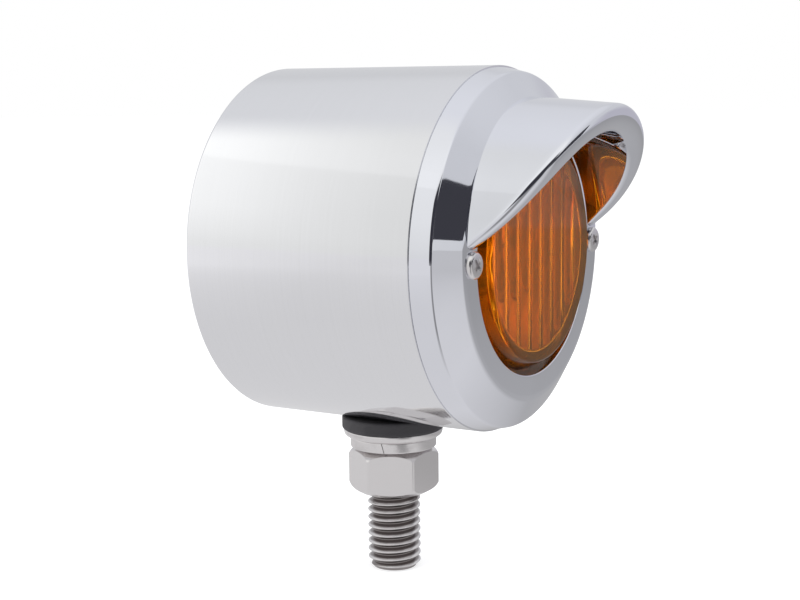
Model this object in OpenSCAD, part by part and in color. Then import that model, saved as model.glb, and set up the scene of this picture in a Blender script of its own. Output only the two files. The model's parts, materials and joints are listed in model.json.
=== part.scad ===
// Turn signal lamp on a threaded stud: polished can, chrome bezel with a visor, amber lens, bayonet bulb.
// The lamp looks along -Y and +Z is up. The origin lies on the stud's axis, at the underside of the
// rubber washer, where a bracket seats. Sizes are in millimetres.

/* [Can] */
// Outside diameter of the can
can_d = 83; // [76:0.5:104]
// Length of the can along the lamp axis
can_len = 57.7; // [54:0.1:80]
// Distance from the stud's axis forward to the can's front edge
can_front = 29; // [27:0.1:36]
// Wall of the can
can_wall = 1; // [0.6:0.1:1.6]
// Outside radius of the can's rear edge
can_edge_r = 0.8; // [0.4:0.1:5]

/* [Bezel] */
// Step from the can's surface down to the bezel's band
band_step = 0.3; // [0:0.1:1.5]
// Inward lean of the band over its width
band_lean = 1.1; // [0.3:0.1:2]
// Width of the band, from the can's edge to the ridge
band_w = 4.6; // [3:0.1:8]
// Depth of the bezel's slope, from the ridge to the front face
slope_depth = 4.4; // [3:0.1:7]
// Radial width of the bezel's slope
slope_w = 6.9; // [5:0.1:9]
// Radial width of the flat face, from the slope to the aperture
face_ring_w = 5.3; // [4.4:0.1:6.4]
// Wall of the casting
bezel_wall = 2.2; // [1.6:0.1:2.8]
// Length of the spigot inside the can
spigot_len = 6; // [4:0.5:7]
// Wall of the spigot
spigot_wall = 1.5; // [1:0.1:2]
// Outward bulge of the slope, between the ridge and the face
slope_bulge = 0.2; // [0.1:0.05:1]
// Radius that rounds the slope's bulge
slope_fillet = 10; // [2:0.5:12]
// Radius that rounds the ridge
ridge_fillet = 1.4; // [0.6:0.1:2]
// Radius that rounds the face's outer edge
face_fillet = 3; // [0.6:0.1:5]
// Radius that rounds the aperture's edge
aperture_fillet = 0.3; // [0.2:0.1:1]

/* [Visor] */
// Height of the axis of the visor's outside above the lamp axis
visor_rise = 2; // [0:0.1:3]
// Distance of the visor's outside inward from the face's edge, at its root
visor_inset = 0.6; // [0.4:0.1:1.2]
// Inward taper of the visor, for each millimetre forward
visor_taper = 0.075; // [0:0.005:0.15]
// Thickness of the visor at its ends, beside the screws
visor_t = 4.2; // [1.6:0.1:4.4]
// Reach of the visor past the front face
visor_reach = 21; // [12:0.1:34]
// Height of the visor's ends above the lamp axis
visor_end_h = 3.3; // [3.2:0.1:8]
// Forward bulge of the visor's lip past a straight cut
visor_bulge = 3.3; // [0.5:0.1:4]

/* [Lens] */
// Gap between the lens wall and the aperture, at the flange
lens_gap = 1; // [0.6:0.1:1.4]
// Inward lean of the lens wall, from its flange to its front rim
lens_draft = 2.2; // [1:0.1:2.8]
// Radius that rounds the lens's front edge
lens_edge_r = 0.8; // [0.4:0.1:1.5]
// How far the lens stands proud of the bezel's face
lens_proud = 1.65; // [0.8:0.05:4]
// Thickness of the lens's front plate
lens_plate_t = 2.4; // [1.8:0.1:3]
// Thickness of the lens wall
lens_wall_t = 2.2; // [1.6:0.1:2.6]
// Thickness of the lens flange
lens_flange_t = 2; // [1.5:0.1:3]
// Spacing of the upright flutes on the lens's inner face
flute_pitch = 5.6; // [4:0.1:8]
// Flat left between two flutes
flute_land = 0.4; // [0.2:0.1:1]
// Height of a flute
flute_h = 0.9; // [0.4:0.1:1.3]
// Thickness of the gasket behind the lens
gasket_t = 1.2; // [0.8:0.1:2]

/* [Lens screws] */
// Distance of the lens screws inward from the face's edge
screw_inset = 3.2; // [2.6:0.1:3.9]
// Diameter of a lens screw's thread
screw_d = 3; // [2.5:0.1:3.6]
// Diameter of a lens screw's head
screw_head_d = 6; // [5:0.1:7.2]
// Height of a lens screw's head
screw_head_h = 1.2; // [1:0.1:2.7]
// Share of the head's height that is rounded over
screw_head_dome = 0.7; // [0.4:0.05:0.9]
// Length of a lens screw under its head
screw_len = 13; // [10.5:0.5:16]
// Radius that rounds a lens screw's end
screw_end_r = 0.4; // [0.2:0.1:0.8]
// Width of a slot of the cross recess
recess_w = 0.9; // [0.6:0.1:1.4]
// Length of a slot of the cross recess
recess_l = 3.4; // [2.6:0.1:4.2]
// Depth of the cross recess
recess_depth = 0.8; // [0.6:0.1:1.5]
// Radius of a screw standoff
standoff_r = 3.2; // [2.6:0.1:3.9]

/* [Reflector and mounting ring] */
// Sheet thickness of the reflector
reflector_t = 0.8; // [0.5:0.1:1]
// Gap from a standoff to the reflector's mouth
reflector_gap = 1.3; // [1:0.1:3]
// How far the reflector's flange reaches past the lens's flange
reflector_lip = 0.7; // [0:0.1:1.2]
// Flat left on the reflector's land outside the rivet heads
land_margin = 0.3; // [0.1:0.1:2]
// Thickness of the mounting ring
ring_t = 1.5; // [1:0.1:2]
// Width of the mounting ring left inside a standoff
ring_margin = 0.4; // [0.1:0.1:1]

/* [Socket] */
// Wall of the socket shell
socket_wall = 0.55; // [0.4:0.05:0.8]
// Distance from the socket's back end to the can's back wall
socket_back_gap = 1.7; // [1:0.1:3]
// Thickness of the socket's end cap
end_cap_t = 0.8; // [0.6:0.1:1.2]
// Thickness of the plate that carries the socket
socket_flange_t = 1; // [0.6:0.1:1.5]
// Width of that plate outside the circle of its rivets
socket_flange_margin = 3.3; // [2:0.1:5]
// Distance of the rivets from the outside of the socket
rivet_inset = 2.35; // [2.1:0.05:3]
// Diameter of a rivet
rivet_d = 2; // [1.6:0.1:2.4]
// Diameter of a rivet's head
rivet_head_d = 3; // [2.6:0.1:3.6]
// Height of a rivet's head
rivet_head_h = 0.6; // [0.4:0.1:0.9]
// How far the socket's mouth stands in front of the plate that carries it
socket_mouth = 1.5; // [1:0.1:4]
// Width of the contact terminal
terminal_w = 5; // [3.5:0.1:6.3]
// Length of the contact terminal below the lamp axis
terminal_l = 11; // [9:0.5:14]
// Thickness of the contact terminal
terminal_t = 0.6; // [0.4:0.1:0.8]
// Diameter of the hole in the contact terminal
terminal_hole_d = 2.2; // [1.5:0.1:2.8]

/* [Contact spring and plunger] */
// Travel of the bulb against the contact spring
push_travel = 2.2; // [1.5:0.1:2.6]
// Turn of the bulb from its lock to the way out
bulb_turn = 25; // [15:1:40]
// Length of the contact spring's space
spring_len = 4.8; // [4.4:0.1:6]
// Wire diameter of the contact spring
spring_wire_d = 0.7; // [0.5:0.05:0.8]
// Mean radius of the contact spring
spring_r = 5.2; // [4:0.1:6]
// Coils of the contact spring
spring_coils = 3; // [2:0.5:3]
// Thickness of the contact plunger
plunger_t = 1.4; // [1:0.1:2]
// Radius of the contact button
button_r = 2.2; // [1.6:0.1:3]
// Height of the contact button
button_h = 0.75; // [0.5:0.05:1]

/* [Bulb] */
// Diameter of the bulb's cap
base_d = 15.1; // [12.5:0.05:18.2]
// Length of the bulb's cap
base_len = 17.5; // [14.5:0.1:21]
// Wall of the bulb's cap
base_wall = 0.45; // [0.3:0.05:0.7]
// How far the cap stands out of the socket
cap_stand = 0.5; // [0:0.1:2]
// Diameter of a bayonet pin
pin_d = 2; // [1.6:0.1:2.4]
// Distance from the cap's end to its pins
pin_height = 7; // [5.8:0.1:8.4]
// How far the pins reach past the socket's outside
pin_proud = 0.45; // [0.2:0.05:0.8]
// How far the pins reach in past the cap's wall
pin_root = 0.5; // [0.2:0.1:1]
// Thickness of the insulator in the cap's end
insulator_t = 0.7; // [0.5:0.1:1]
// Radius of the solder contact
bulb_contact_r = 2.3; // [1.8:0.1:3]
// Height of the solder contact
bulb_contact_h = 1; // [0.7:0.1:1.4]
// Share of the contact's height that is rounded over
bulb_contact_dome = 0.9; // [0.4:0.05:0.95]
// Diameter of the glass envelope
glass_d = 25.8; // [20:0.1:31]
// Length of the glass envelope past the cap
glass_len = 30.4; // [25:0.1:34]
// Wall of the glass envelope
glass_wall = 0.7; // [0.4:0.1:1]
// Length of the glass envelope's neck
neck_len = 4; // [3:0.1:5]
// Radius that blends the neck into the envelope
neck_fillet = 3; // [1:0.1:4]
// Radius of the glass stem at its foot
stem_r = 4.3; // [3:0.1:4.8]
// Radius of the glass stem at its tip
stem_tip_r = 2.1; // [1.5:0.1:2.8]
// Radius that rounds the stem's tip
stem_fillet = 0.5; // [0.2:0.1:0.8]
// Height of the stem above the cap
stem_h = 7.5; // [5:0.1:9]
// Height of the filament above the cap
filament_h = 15; // [12:0.5:18]
// Length of the filament
filament_len = 8; // [5:0.5:10]
// Diameter of the filament
filament_d = 0.8; // [0.4:0.1:1]
// Diameter of a filament support
support_d = 0.5; // [0.3:0.1:0.8]
// Distance of a support's foot from the lamp axis
support_foot = 1.05; // [0.8:0.05:1.2]

/* [Stud, nut and washers] */
// Major diameter of the stud's thread
stud_d = 12.7; // [10:0.1:14]
// Threads per inch
threads_per_inch = 13; // [11:1:20]
// Length of the stud below the seat
stud_len = 34.3; // [29:0.1:60]
// Step in from the thread's crests to the plain shank above it
shank_relief = 0.4; // [0.3:0.05:0.8]
// Length of the chamfer at the stud's end
stud_chamfer = 1.3; // [0.6:0.1:2]
// Width across the flats of the nut and of the bolt's head
hex_af = 19.05; // [17:0.05:23]
// Length over which a hexagon's corners are turned off
hex_chamfer = 1.6; // [0.8:0.1:2]
// Distance of a hexagon's round end face inside its flats
hex_face_inset = 1.3; // [0.6:0.05:1.6]
// Height of the nut
nut_h = 11.1; // [8:0.1:13.5]
// Turn of the nut's corners from the +X direction
nut_angle = -3.5; // [-30:0.5:30]
// Height of the bolt's head
bolt_head_h = 7.9; // [6:0.1:9.5]
// Radius of the flat washer
flat_r = 11.9; // [10:0.1:14.5]
// Thickness of the flat washer
flat_t = 1.9; // [1.2:0.1:3]
// Radius of the lock washer
lock_r = 10.35; // [9:0.05:12.5]
// Thickness of the lock washer
lock_t = 2.6; // [1.6:0.1:3.4]
// Width of the lock washer's split
lock_split = 0.4; // [0.3:0.1:1.5]
// Direction of the split, from the +X direction
lock_split_angle = 197; // [0:1:360]
// Lean of the split from upright
lock_split_lean = 15; // [0:1:30]

/* [Rubber washer and saddle plate] */
// Radius of the rubber washer
rubber_r = 12.3; // [10.5:0.1:15]
// Height of the can over the seat, with the rubber under it
rubber_t = 2.6; // [1.5:0.1:4]
// How far the can presses into the rubber
rubber_press = 0.5; // [0.2:0.1:1]
// Thickness of the saddle plate at its middle
saddle_t = 3.2; // [2.6:0.1:4]
// Width of the saddle plate across the lamp
saddle_w = 26; // [22:0.5:31]
// Length of the saddle plate along the lamp
saddle_l = 24; // [20:0.5:30]

/* [Grommet] */
// Distance of the grommet below the lamp axis
grommet_drop = 24; // [20:0.5:28]
// Radius of the lead's hole through the grommet
grommet_bore_r = 3.1; // [2.6:0.1:3.8]
// Radius of the grommet's neck, in the can's back wall
grommet_neck_r = 4.9; // [4.2:0.1:5.8]
// Radius of the grommet's flanges
grommet_flange_r = 6.8; // [5.7:0.1:8.1]
// Thickness of a grommet's flange
grommet_flange_t = 1.4; // [1.2:0.1:1.6]
// Radius that rounds the flanges' edges
grommet_edge_r = 0.6; // [0.2:0.1:0.7]
// Radius that rounds the ends of the hole
grommet_mouth_r = 0.4; // [0.2:0.1:0.6]

/* [Clearances] */
// Gap of a sliding or turning fit, on the radius
running_gap = 0.05; // [0.02:0.01:0.1]
// Gap round a part that is held at its ends, on the radius
loose_gap = 0.15; // [0.1:0.05:0.3]
// Gap round the bulb's cap, its pins and the contact plunger in the socket, on the radius
socket_gap = 0.25; // [0.2:0.05:0.4]
// Gap round the stud in the pieces that it passes through, on the radius
stud_gap = 0.3; // [0.2:0.05:0.6]
// Gap round the lens's flange inside the bezel, on the radius
flange_gap = 0.3; // [0.2:0.05:0.6]
// Gap between the spigot's back edge and the mounting ring
ring_gap = 0.4; // [0.2:0.1:1]
// Gap between the nut and the first full thread below it
thread_gap = 0.3; // [0.1:0.1:1]

/* [Hidden] */
$fn = 96;
cut = 0.5; // overshoot of a cut past the face that it leaves through
side_signs = [-1, 1];
pair_angles = [0, 180];

can_r = can_d / 2;
can_ri = can_r - can_wall;
axis_h = rubber_t + can_r; // height of the lamp axis over the seat

// Stations along the lamp axis are counted forward from the stud's axis.
can_back = can_front - can_len;
back_inner = can_back + can_wall;
ridge_f = can_front + band_w;
face_f = ridge_f + slope_depth;
seat_f = face_f - bezel_wall; // the lens's flange seats here, behind the bezel's face
lens_f = face_f + lens_proud;
plate_inner_f = lens_f - lens_plate_t;
gasket_front = seat_f - lens_flange_t;
gasket_back = gasket_front - gasket_t;
reflector_front = gasket_back;
standoff_front = reflector_front - reflector_t;
spigot_back = can_front - spigot_len;
ring_front = spigot_back - ring_gap;
ring_back = ring_front - ring_t;

// Radii of the bezel, the lens and what lies behind them, from the outside in
band_r = can_r - band_step;
ridge_r = band_r - band_lean;
face_r = ridge_r - slope_w;
aperture_r = face_r - face_ring_w;
slope = slope_depth / slope_w; // forward rise of the bezel's slope for each millimetre inward
slope_mid_r = (ridge_r + face_r) / 2 + slope_bulge * slope_depth / norm([slope_w, slope_depth]);
slope_mid_f = (ridge_f + face_f) / 2 + slope_bulge * slope_w / norm([slope_w, slope_depth]);
spigot_r = can_ri - loose_gap;
spigot_ri = spigot_r - spigot_wall;
lens_wall_r = aperture_r - lens_gap;
lens_rim_r = lens_wall_r - lens_draft;
lens_bore_r = lens_wall_r - lens_wall_t; // inside radius of the lens wall at its flange
lens_inner_r = lens_rim_r - lens_wall_t; // inside radius of the lens wall at the front plate
lens_flange_r = face_r - flange_gap;
screw_r = face_r - screw_inset;
screw_hole_r = screw_d / 2 + loose_gap;
reflector_flange_r = lens_flange_r + reflector_lip;
reflector_mouth_r = screw_r - standoff_r - reflector_gap;
ring_bore_r = screw_r - standoff_r - ring_margin;

visor_root_r = face_r - visor_inset;
visor_root_f = face_f - 0.9 * bezel_wall; // inside the casting all along the root
visor_tip_f = face_f + visor_reach;
visor_tip_h = visor_rise + visor_root_r - visor_taper * (visor_tip_f - visor_root_f);

flute_zone_r = lens_inner_r - flute_land;
flute_count = round(flute_zone_r / flute_pitch); // on each side of the middle
flute_half_w = (flute_pitch - flute_land) / 2;
flute_r = (pow(flute_half_w, 2) + pow(flute_h, 2)) / (2 * flute_h);

socket_ri = base_d / 2 + socket_gap;
socket_ro = socket_ri + socket_wall;
socket_back = back_inner + socket_back_gap;
end_cap_front = socket_back + end_cap_t;
plunger_back = end_cap_front + spring_len;
plunger_front = plunger_back + plunger_t;
button_front = plunger_front + button_h;
base_back = button_front + running_gap + bulb_contact_h + insulator_t;
base_front = base_back + base_len;
socket_front = base_front - cap_stand;
land_back = socket_front - socket_mouth;
land_front = land_back + reflector_t;
rivet_circle_r = socket_ro + rivet_inset;
socket_flange_r = rivet_circle_r + socket_flange_margin;
reflector_land_r = rivet_circle_r + rivet_head_d / 2 + land_margin;

neck_r = base_d / 2 - base_wall;
pin_f = base_back + pin_height;
pin_root_r = neck_r - pin_root;
pin_reach_r = socket_ro + pin_proud;
slot_half = asin((pin_d / 2 + socket_gap) / socket_ri); // half the angle that a pin's slot takes up
glass_r = glass_d / 2;
glass_top = base_front + glass_len;
glass_centre = glass_top - glass_r;
filament_f = base_front + filament_h;
stem_top = base_front + stem_h;

stud_r = stud_d / 2;
shank_r = stud_r - shank_relief;
stud_hole_r = stud_r + stud_gap;
flat_bottom = -flat_t;
lock_bottom = flat_bottom - lock_t;
nut_bottom = lock_bottom - nut_h;
saddle_top = rubber_t + can_wall + saddle_t;
hex_r = hex_af / 2 / cos(30);
hex_face_r = hex_af / 2 - hex_face_inset;

// Thread form, as shares of its pitch
pitch = 25.4 / threads_per_inch;
thread_depth = 0.6 * pitch;
crest_w = 0.15 * pitch;
root_w = 0.15 * pitch;
flank_w = (pitch - crest_w - root_w) / 2;
thread_top = nut_bottom - thread_gap;
thread_turns = floor((thread_top + stud_len - stud_chamfer - crest_w) / pitch);
stud_end_r = stud_r - thread_depth;

// Rings of points in a coil of the spring, and sides of its wire
spring_rings = 8;
spring_sides = 6;
bowl_steps = 12;

// Arc that rounds the corner b, between the directions of a and c, with radius r.
function unit(v) = v / norm(v);
function corner(a, b, c, r, steps) =
    let (u = unit(a - b), v = unit(c - b), half = acos(u * v) / 2)
    let (centre = b + unit(u + v) * r / sin(half), reach = r / tan(half))
    let (start = b + u * reach - centre, end = b + v * reach - centre, sweep = 180 - 2 * half)
    [
        for (i = [0:steps])
            let (done = sweep * i / steps, left = sweep - done)
            centre + (start * sin(left) + end * sin(done)) / sin(sweep)
    ];

// Outline from a list of [x, y, corner radius].
function rounded(list, steps = 6) = [
    for (i = [0:len(list) - 1])
        let (count = len(list), p = list[i])
        let (before = list[(i + count - 1) % count], after = list[(i + 1) % count])
        let (b = [p[0], p[1]], a = [before[0], before[1]], c = [after[0], after[1]])
        each (p[2] > 0 ? corner(a, b, c, p[2], steps) : [b])
];

// Children are drawn with Z forward along the lamp axis and Y up.
module on_lamp_axis() {
    translate([0, 0, axis_h]) rotate([90, 0, 0]) children();
}

// Solid of revolution about the lamp axis, from a list of [radius, station, corner radius].
module turned(list) {
    on_lamp_axis() rotate_extrude() polygon(rounded(list));
}

module ring(r_out, r_in, back, front) {
    on_lamp_axis() translate([0, 0, back]) difference() {
        cylinder(h = front - back, r = r_out);
        translate([0, 0, -cut]) cylinder(h = front - back + 2 * cut, r = r_in);
    }
}

module disc(r, back, front) {
    on_lamp_axis() translate([0, 0, back]) cylinder(h = front - back, r = r);
}

// One cylinder at each lens screw.
module at_screws(r, back, front) {
    for (side = side_signs)
        on_lamp_axis() translate([side * screw_r, 0, back]) cylinder(h = front - back, r = r);
}

// Sector of a disc about the lamp axis, for the bayonet slots.
module sector(r, from, to, back, front) {
    mid = (from + to) / 2;
    outline = [for (a = [from, mid, to]) r * [cos(a), sin(a)]];
    on_lamp_axis() translate([0, 0, back]) linear_extrude(front - back) polygon(concat([[0, 0]], outline));
}

module upright(r, bottom, top) {
    translate([0, 0, bottom]) cylinder(h = top - bottom, r = r);
}

module housing() {
    color("gainsboro") difference() {
        turned([
            [can_r, can_front, 0], [can_r, can_back, can_edge_r], [0, can_back, 0],
            [0, back_inner, 0], [can_ri, back_inner, can_edge_r - can_wall], [can_ri, can_front, 0]
        ]);
        upright(stud_hole_r, 0, axis_h - can_ri + can_wall + cut);
        on_lamp_axis() translate([0, -grommet_drop, can_back - cut])
            cylinder(h = can_wall + 2 * cut, r = grommet_neck_r + running_gap);
    }
}

module mounting_ring() {
    color("silver") difference() {
        ring(can_ri - running_gap, ring_bore_r, ring_back, ring_front);
        at_screws(screw_hole_r, ring_back - cut, ring_front + cut);
    }
}

module screw_standoffs() {
    color("silver") difference() {
        at_screws(standoff_r, ring_front, standoff_front);
        at_screws(screw_d / 2 + running_gap, ring_front - cut, standoff_front + cut);
    }
}

// Cut that leaves the visor's lip on an arc, from its ends on the face to its tip.
module visor_limit() {
    from = [face_f, visor_end_h];
    to = [visor_tip_f, visor_tip_h];
    chord = norm(to - from);
    lip_r = chord * chord / (8 * visor_bulge) + visor_bulge / 2;
    forward = [to[1] - from[1], from[0] - to[0]] / chord;
    centre = (from + to) / 2 + forward * (visor_bulge - lip_r);
    on_lamp_axis() translate([0, centre[1], centre[0]]) rotate([0, 90, 0])
        cylinder(h = 4 * can_r, r = lip_r, center = true);
}

module visor() {
    length = visor_tip_f - visor_root_f + cut;
    tip_r = visor_root_r - visor_taper * length;
    intersection() {
        on_lamp_axis() translate([0, 0, visor_root_f]) difference() {
            translate([0, visor_rise, 0]) cylinder(h = length, r1 = visor_root_r, r2 = tip_r);
            translate([0, 0, -cut]) cylinder(
                h = length + 2 * cut,
                r1 = visor_root_r - visor_t + visor_taper * cut,
                r2 = tip_r - visor_t - visor_taper * cut
            );
        }
        visor_limit();
        on_lamp_axis() translate([-can_r, 0, visor_root_f]) cube([2 * can_r, can_r, length]);
    }
}

module bezel_visor() {
    color("lightsteelblue") difference() {
        union() {
            turned([
                [spigot_r, spigot_back, 0], [spigot_r, can_front, 0], [band_r, can_front, 0],
                [ridge_r, ridge_f, ridge_fillet], [slope_mid_r, slope_mid_f, slope_fillet],
                [face_r, face_f, face_fillet],
                [aperture_r, face_f, aperture_fillet], [aperture_r, seat_f, 0], [face_r, seat_f, 0],
                [spigot_ri, seat_f - (spigot_ri - face_r) * slope, 0], [spigot_ri, spigot_back, 0]
            ]);
            visor();
        }
        at_screws(screw_hole_r, seat_f - cut, face_f + cut);
    }
}

module lens() {
    color("darkorange") difference() {
        union() {
            turned([
                [0, lens_f, 0], [lens_rim_r, lens_f, lens_edge_r], [lens_wall_r, seat_f, 0],
                [lens_flange_r, seat_f, 0], [lens_flange_r, gasket_front, 0],
                [lens_bore_r, gasket_front, 0],
                [lens_inner_r, plate_inner_f, 0], [0, plate_inner_f, 0]
            ]);
            intersection() {
                disc(flute_zone_r, plate_inner_f - flute_h - cut, plate_inner_f + cut);
                for (i = [-flute_count:flute_count - 1])
                    on_lamp_axis() translate([(i + 0.5) * flute_pitch, 0, plate_inner_f - flute_h + flute_r])
                        rotate([90, 0, 0]) cylinder(h = 2 * flute_zone_r, r = flute_r, center = true);
            }
        }
        at_screws(screw_hole_r, gasket_front - cut, seat_f + cut);
    }
}

module lens_gasket() {
    color("dimgray") difference() {
        ring(lens_flange_r, lens_bore_r, gasket_back, gasket_front);
        at_screws(screw_hole_r, gasket_back - cut, gasket_front + cut);
    }
}

module lens_screw(side) {
    head_r = screw_head_d / 2;
    difference() {
        on_lamp_axis() translate([side * screw_r, 0, face_f]) rotate_extrude() polygon(rounded([
            [0, -screw_len, 0], [screw_d / 2, -screw_len, screw_end_r], [screw_d / 2, 0, 0], [head_r, 0, 0],
            [head_r, screw_head_h, screw_head_h * screw_head_dome], [0, screw_head_h, 0]
        ]));
        for (turn = [45, 135])
            on_lamp_axis() translate([side * screw_r, 0, face_f + screw_head_h]) rotate(turn)
                cube([recess_l, recess_w, 2 * recess_depth], center = true);
    }
}

module lens_screws() {
    color("silver") for (side = side_signs) lens_screw(side);
}

// Curve of the reflector's bowl, from its land to its mouth.
function bowl(shift) = [
    for (i = [0:bowl_steps])
        let (t = i / bowl_steps)
        [
            reflector_land_r + (reflector_mouth_r - reflector_land_r) * t + shift,
            land_front + (reflector_front - land_front) * t * t - shift,
            0
        ]
];
function reversed(list) = [for (i = [len(list) - 1:-1:0]) list[i]];

module reflector() {
    inset = reflector_t * sqrt(0.5);
    inner = bowl(0);
    outer = bowl(inset);
    bore = socket_ro + loose_gap;
    color("whitesmoke") difference() {
        union() {
            intersection() {
                turned(concat([[bore, land_front, 0]], inner, reversed(outer), [[bore, land_back, 0]]));
                disc(can_r, land_back, reflector_front);
            }
            ring(reflector_flange_r, reflector_mouth_r, standoff_front, reflector_front);
        }
        at_screws(screw_hole_r, standoff_front - cut, reflector_front + cut);
        at_rivets(rivet_d / 2 + running_gap, land_back - cut, land_front + cut);
    }
}

module at_rivets(r, back, front) {
    for (side = side_signs)
        on_lamp_axis() translate([0, side * rivet_circle_r, back]) cylinder(h = front - back, r = r);
}

module socket_flange() {
    color("silver") difference() {
        ring(socket_flange_r, socket_ro + running_gap, land_back - socket_flange_t, land_back);
        at_rivets(rivet_d / 2 + running_gap, land_back - socket_flange_t - cut, land_back + cut);
    }
}

module socket_rivets() {
    back = land_back - socket_flange_t;
    color("darkgray") {
        at_rivets(rivet_d / 2, back, land_front);
        at_rivets(rivet_head_d / 2, land_front, land_front + rivet_head_h);
        at_rivets(rivet_head_d / 2, back - rivet_head_h, back);
    }
}

module socket_shell() {
    lock_back = pin_f - pin_d / 2 - push_travel - socket_gap;
    lock_front = pin_f + pin_d / 2 + running_gap;
    color("khaki") difference() {
        ring(socket_ro, socket_ri, socket_back, socket_front);
        for (side = pair_angles) rotate_about_lamp(side) {
            sector(2 * socket_ro, -slot_half, bulb_turn + slot_half, lock_back, lock_front);
            sector(2 * socket_ro, bulb_turn - slot_half, bulb_turn + slot_half, pin_f, socket_front + cut);
        }
    }
}

// Turns children about the lamp axis, counter-clockwise as seen from the front.
module rotate_about_lamp(angle) {
    translate([0, 0, axis_h]) rotate([0, -angle, 0]) translate([0, 0, -axis_h]) children();
}

module socket_end_cap() {
    color("saddlebrown") disc(socket_ri - running_gap, socket_back, end_cap_front);
}

module contact_terminal() {
    color("goldenrod") difference() {
        on_lamp_axis() translate([-terminal_w / 2, -terminal_l, socket_back - terminal_t])
            cube([terminal_w, terminal_l + terminal_w / 2, terminal_t]);
        on_lamp_axis() translate([0, -terminal_l + terminal_w / 2, socket_back - terminal_t - cut])
            cylinder(h = terminal_t + 2 * cut, d = terminal_hole_d);
    }
}

// Point of the contact spring's centre line, for a share s of its length.
spring_start = end_cap_front + spring_wire_d / 2 + running_gap;
spring_rise = spring_len - spring_wire_d - 2 * running_gap;
spring_steps = ceil(spring_coils * spring_rings);
function spring_point(s) =
    let (a = 360 * spring_coils * s)
    [spring_r * cos(a), spring_r * sin(a), spring_start + spring_rise * s];

// Ring of points round the wire; its plane holds the radius and the lamp axis.
function spring_ring(i) =
    let (s = i / spring_steps, a = 360 * spring_coils * s, c = spring_point(s))
    [
        for (k = [0:spring_sides - 1])
            let (b = 360 * k / spring_sides)
            let (out = spring_wire_d / 2 * cos(b), fore = spring_wire_d / 2 * sin(b))
            c + [out * cos(a), out * sin(a), fore]
    ];

// Quad between two rings, as two triangles.
function spring_quad(i, k) =
    let (n = spring_sides, a = i * n + k, b = i * n + (k + 1) % n, c = a + n, d = b + n)
    [[a, c, b], [b, c, d]];

// Least gap between the wire and itself, measured between points over half a coil apart.
spring_self_gap = min([
    for (i = [0:spring_steps])
        for (j = [i + spring_rings / 2 + 1:1:spring_steps])
            norm(spring_point(i / spring_steps) - spring_point(j / spring_steps))
]) - spring_wire_d;
echo(spring_self_gap = spring_self_gap);

module contact_spring() {
    points = [for (i = [0:spring_steps]) each spring_ring(i)];
    last = spring_steps * spring_sides;
    sides = [for (i = [0:spring_steps - 1]) for (k = [0:spring_sides - 1]) each spring_quad(i, k)];
    start_cap = [for (k = [1:spring_sides - 2]) [0, k, k + 1]];
    end_cap = [for (k = [1:spring_sides - 2]) [last, last + k + 1, last + k]];
    color("silver") on_lamp_axis() polyhedron(points, concat(sides, start_cap, end_cap));
}

module contact_plunger() {
    color("saddlebrown") disc(socket_ri - socket_gap, plunger_back, plunger_front);
}

module contact_button() {
    color("goldenrod") disc(button_r, plunger_front, button_front);
}

module bulb_base() {
    color("silver") difference() {
        ring(base_d / 2, neck_r, base_back, base_front);
        at_pins(pin_root_r - cut);
    }
}

// A cylinder along each bayonet pin, from a radius out to the pins' reach.
module at_pins(from) {
    for (side = pair_angles) rotate_about_lamp(side)
        translate([from, -pin_f, axis_h]) rotate([0, 90, 0]) cylinder(h = pin_reach_r - from, d = pin_d);
}

module bulb_pins() {
    color("silver") at_pins(pin_root_r);
}

module bulb_insulator() {
    color("dimgray") disc(neck_r, base_back - insulator_t, base_back);
}

module bulb_contact() {
    front = base_back - insulator_t;
    back = front - bulb_contact_h;
    color("lightgray") turned([
        [0, back, 0], [bulb_contact_r, back, bulb_contact_h * bulb_contact_dome],
        [bulb_contact_r, front, 0], [0, front, 0]
    ]);
}

// Outline of the bulb's envelope, drawn in by a wall thickness.
function envelope(wall) = concat(
    rounded([
        [0, base_front + wall, 0], [neck_r - wall, base_front + wall, 0],
        [neck_r - wall, base_front + neck_len, neck_fillet], [glass_r - wall, glass_centre, 0]
    ]),
    [for (a = [10:10:90]) [(glass_r - wall) * cos(a), glass_centre + (glass_r - wall) * sin(a)]]
);

module bulb_glass() {
    color("azure", 0.4) on_lamp_axis() difference() {
        rotate_extrude() polygon(envelope(0));
        rotate_extrude() polygon(envelope(glass_wall));
    }
}

module bulb_stem() {
    color("azure", 0.6) turned([
        [0, base_front + glass_wall, 0], [stem_r, base_front + glass_wall, 0],
        [stem_tip_r, stem_top, stem_fillet], [0, stem_top, 0]
    ]);
}

module filament_supports() {
    spread = filament_len / 2 - support_foot;
    rise = filament_f - stem_top;
    lean = atan2(spread, rise);
    color("gray") for (side = side_signs)
        on_lamp_axis() translate([side * support_foot, 0, stem_top]) rotate([0, side * lean, 0])
            cylinder(h = norm([spread, rise]), d = support_d);
}

module filament() {
    color("dimgray") on_lamp_axis() translate([0, 0, filament_f + (support_d + filament_d) / 2])
        rotate([0, 90, 0]) cylinder(h = filament_len, d = filament_d, center = true);
}

module saddle_plate() {
    color("silver") difference() {
        intersection() {
            translate([-saddle_w / 2, -saddle_l / 2, 0]) cube([saddle_w, saddle_l, saddle_top]);
            disc(can_ri - running_gap, -saddle_l, saddle_l);
        }
        upright(stud_hole_r, 0, saddle_top + cut);
    }
}

module rear_grommet() {
    inner_front = back_inner + grommet_flange_t;
    outer_back = can_back - grommet_flange_t;
    color("dimgray") translate([0, 0, -grommet_drop]) turned([
        [grommet_bore_r, outer_back, grommet_mouth_r], [grommet_flange_r, outer_back, grommet_edge_r],
        [grommet_flange_r, can_back, 0], [grommet_neck_r, can_back, 0], [grommet_neck_r, back_inner, 0],
        [grommet_flange_r, back_inner, 0], [grommet_flange_r, inner_front, grommet_edge_r],
        [grommet_bore_r, inner_front, grommet_mouth_r]
    ]);
}

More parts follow.
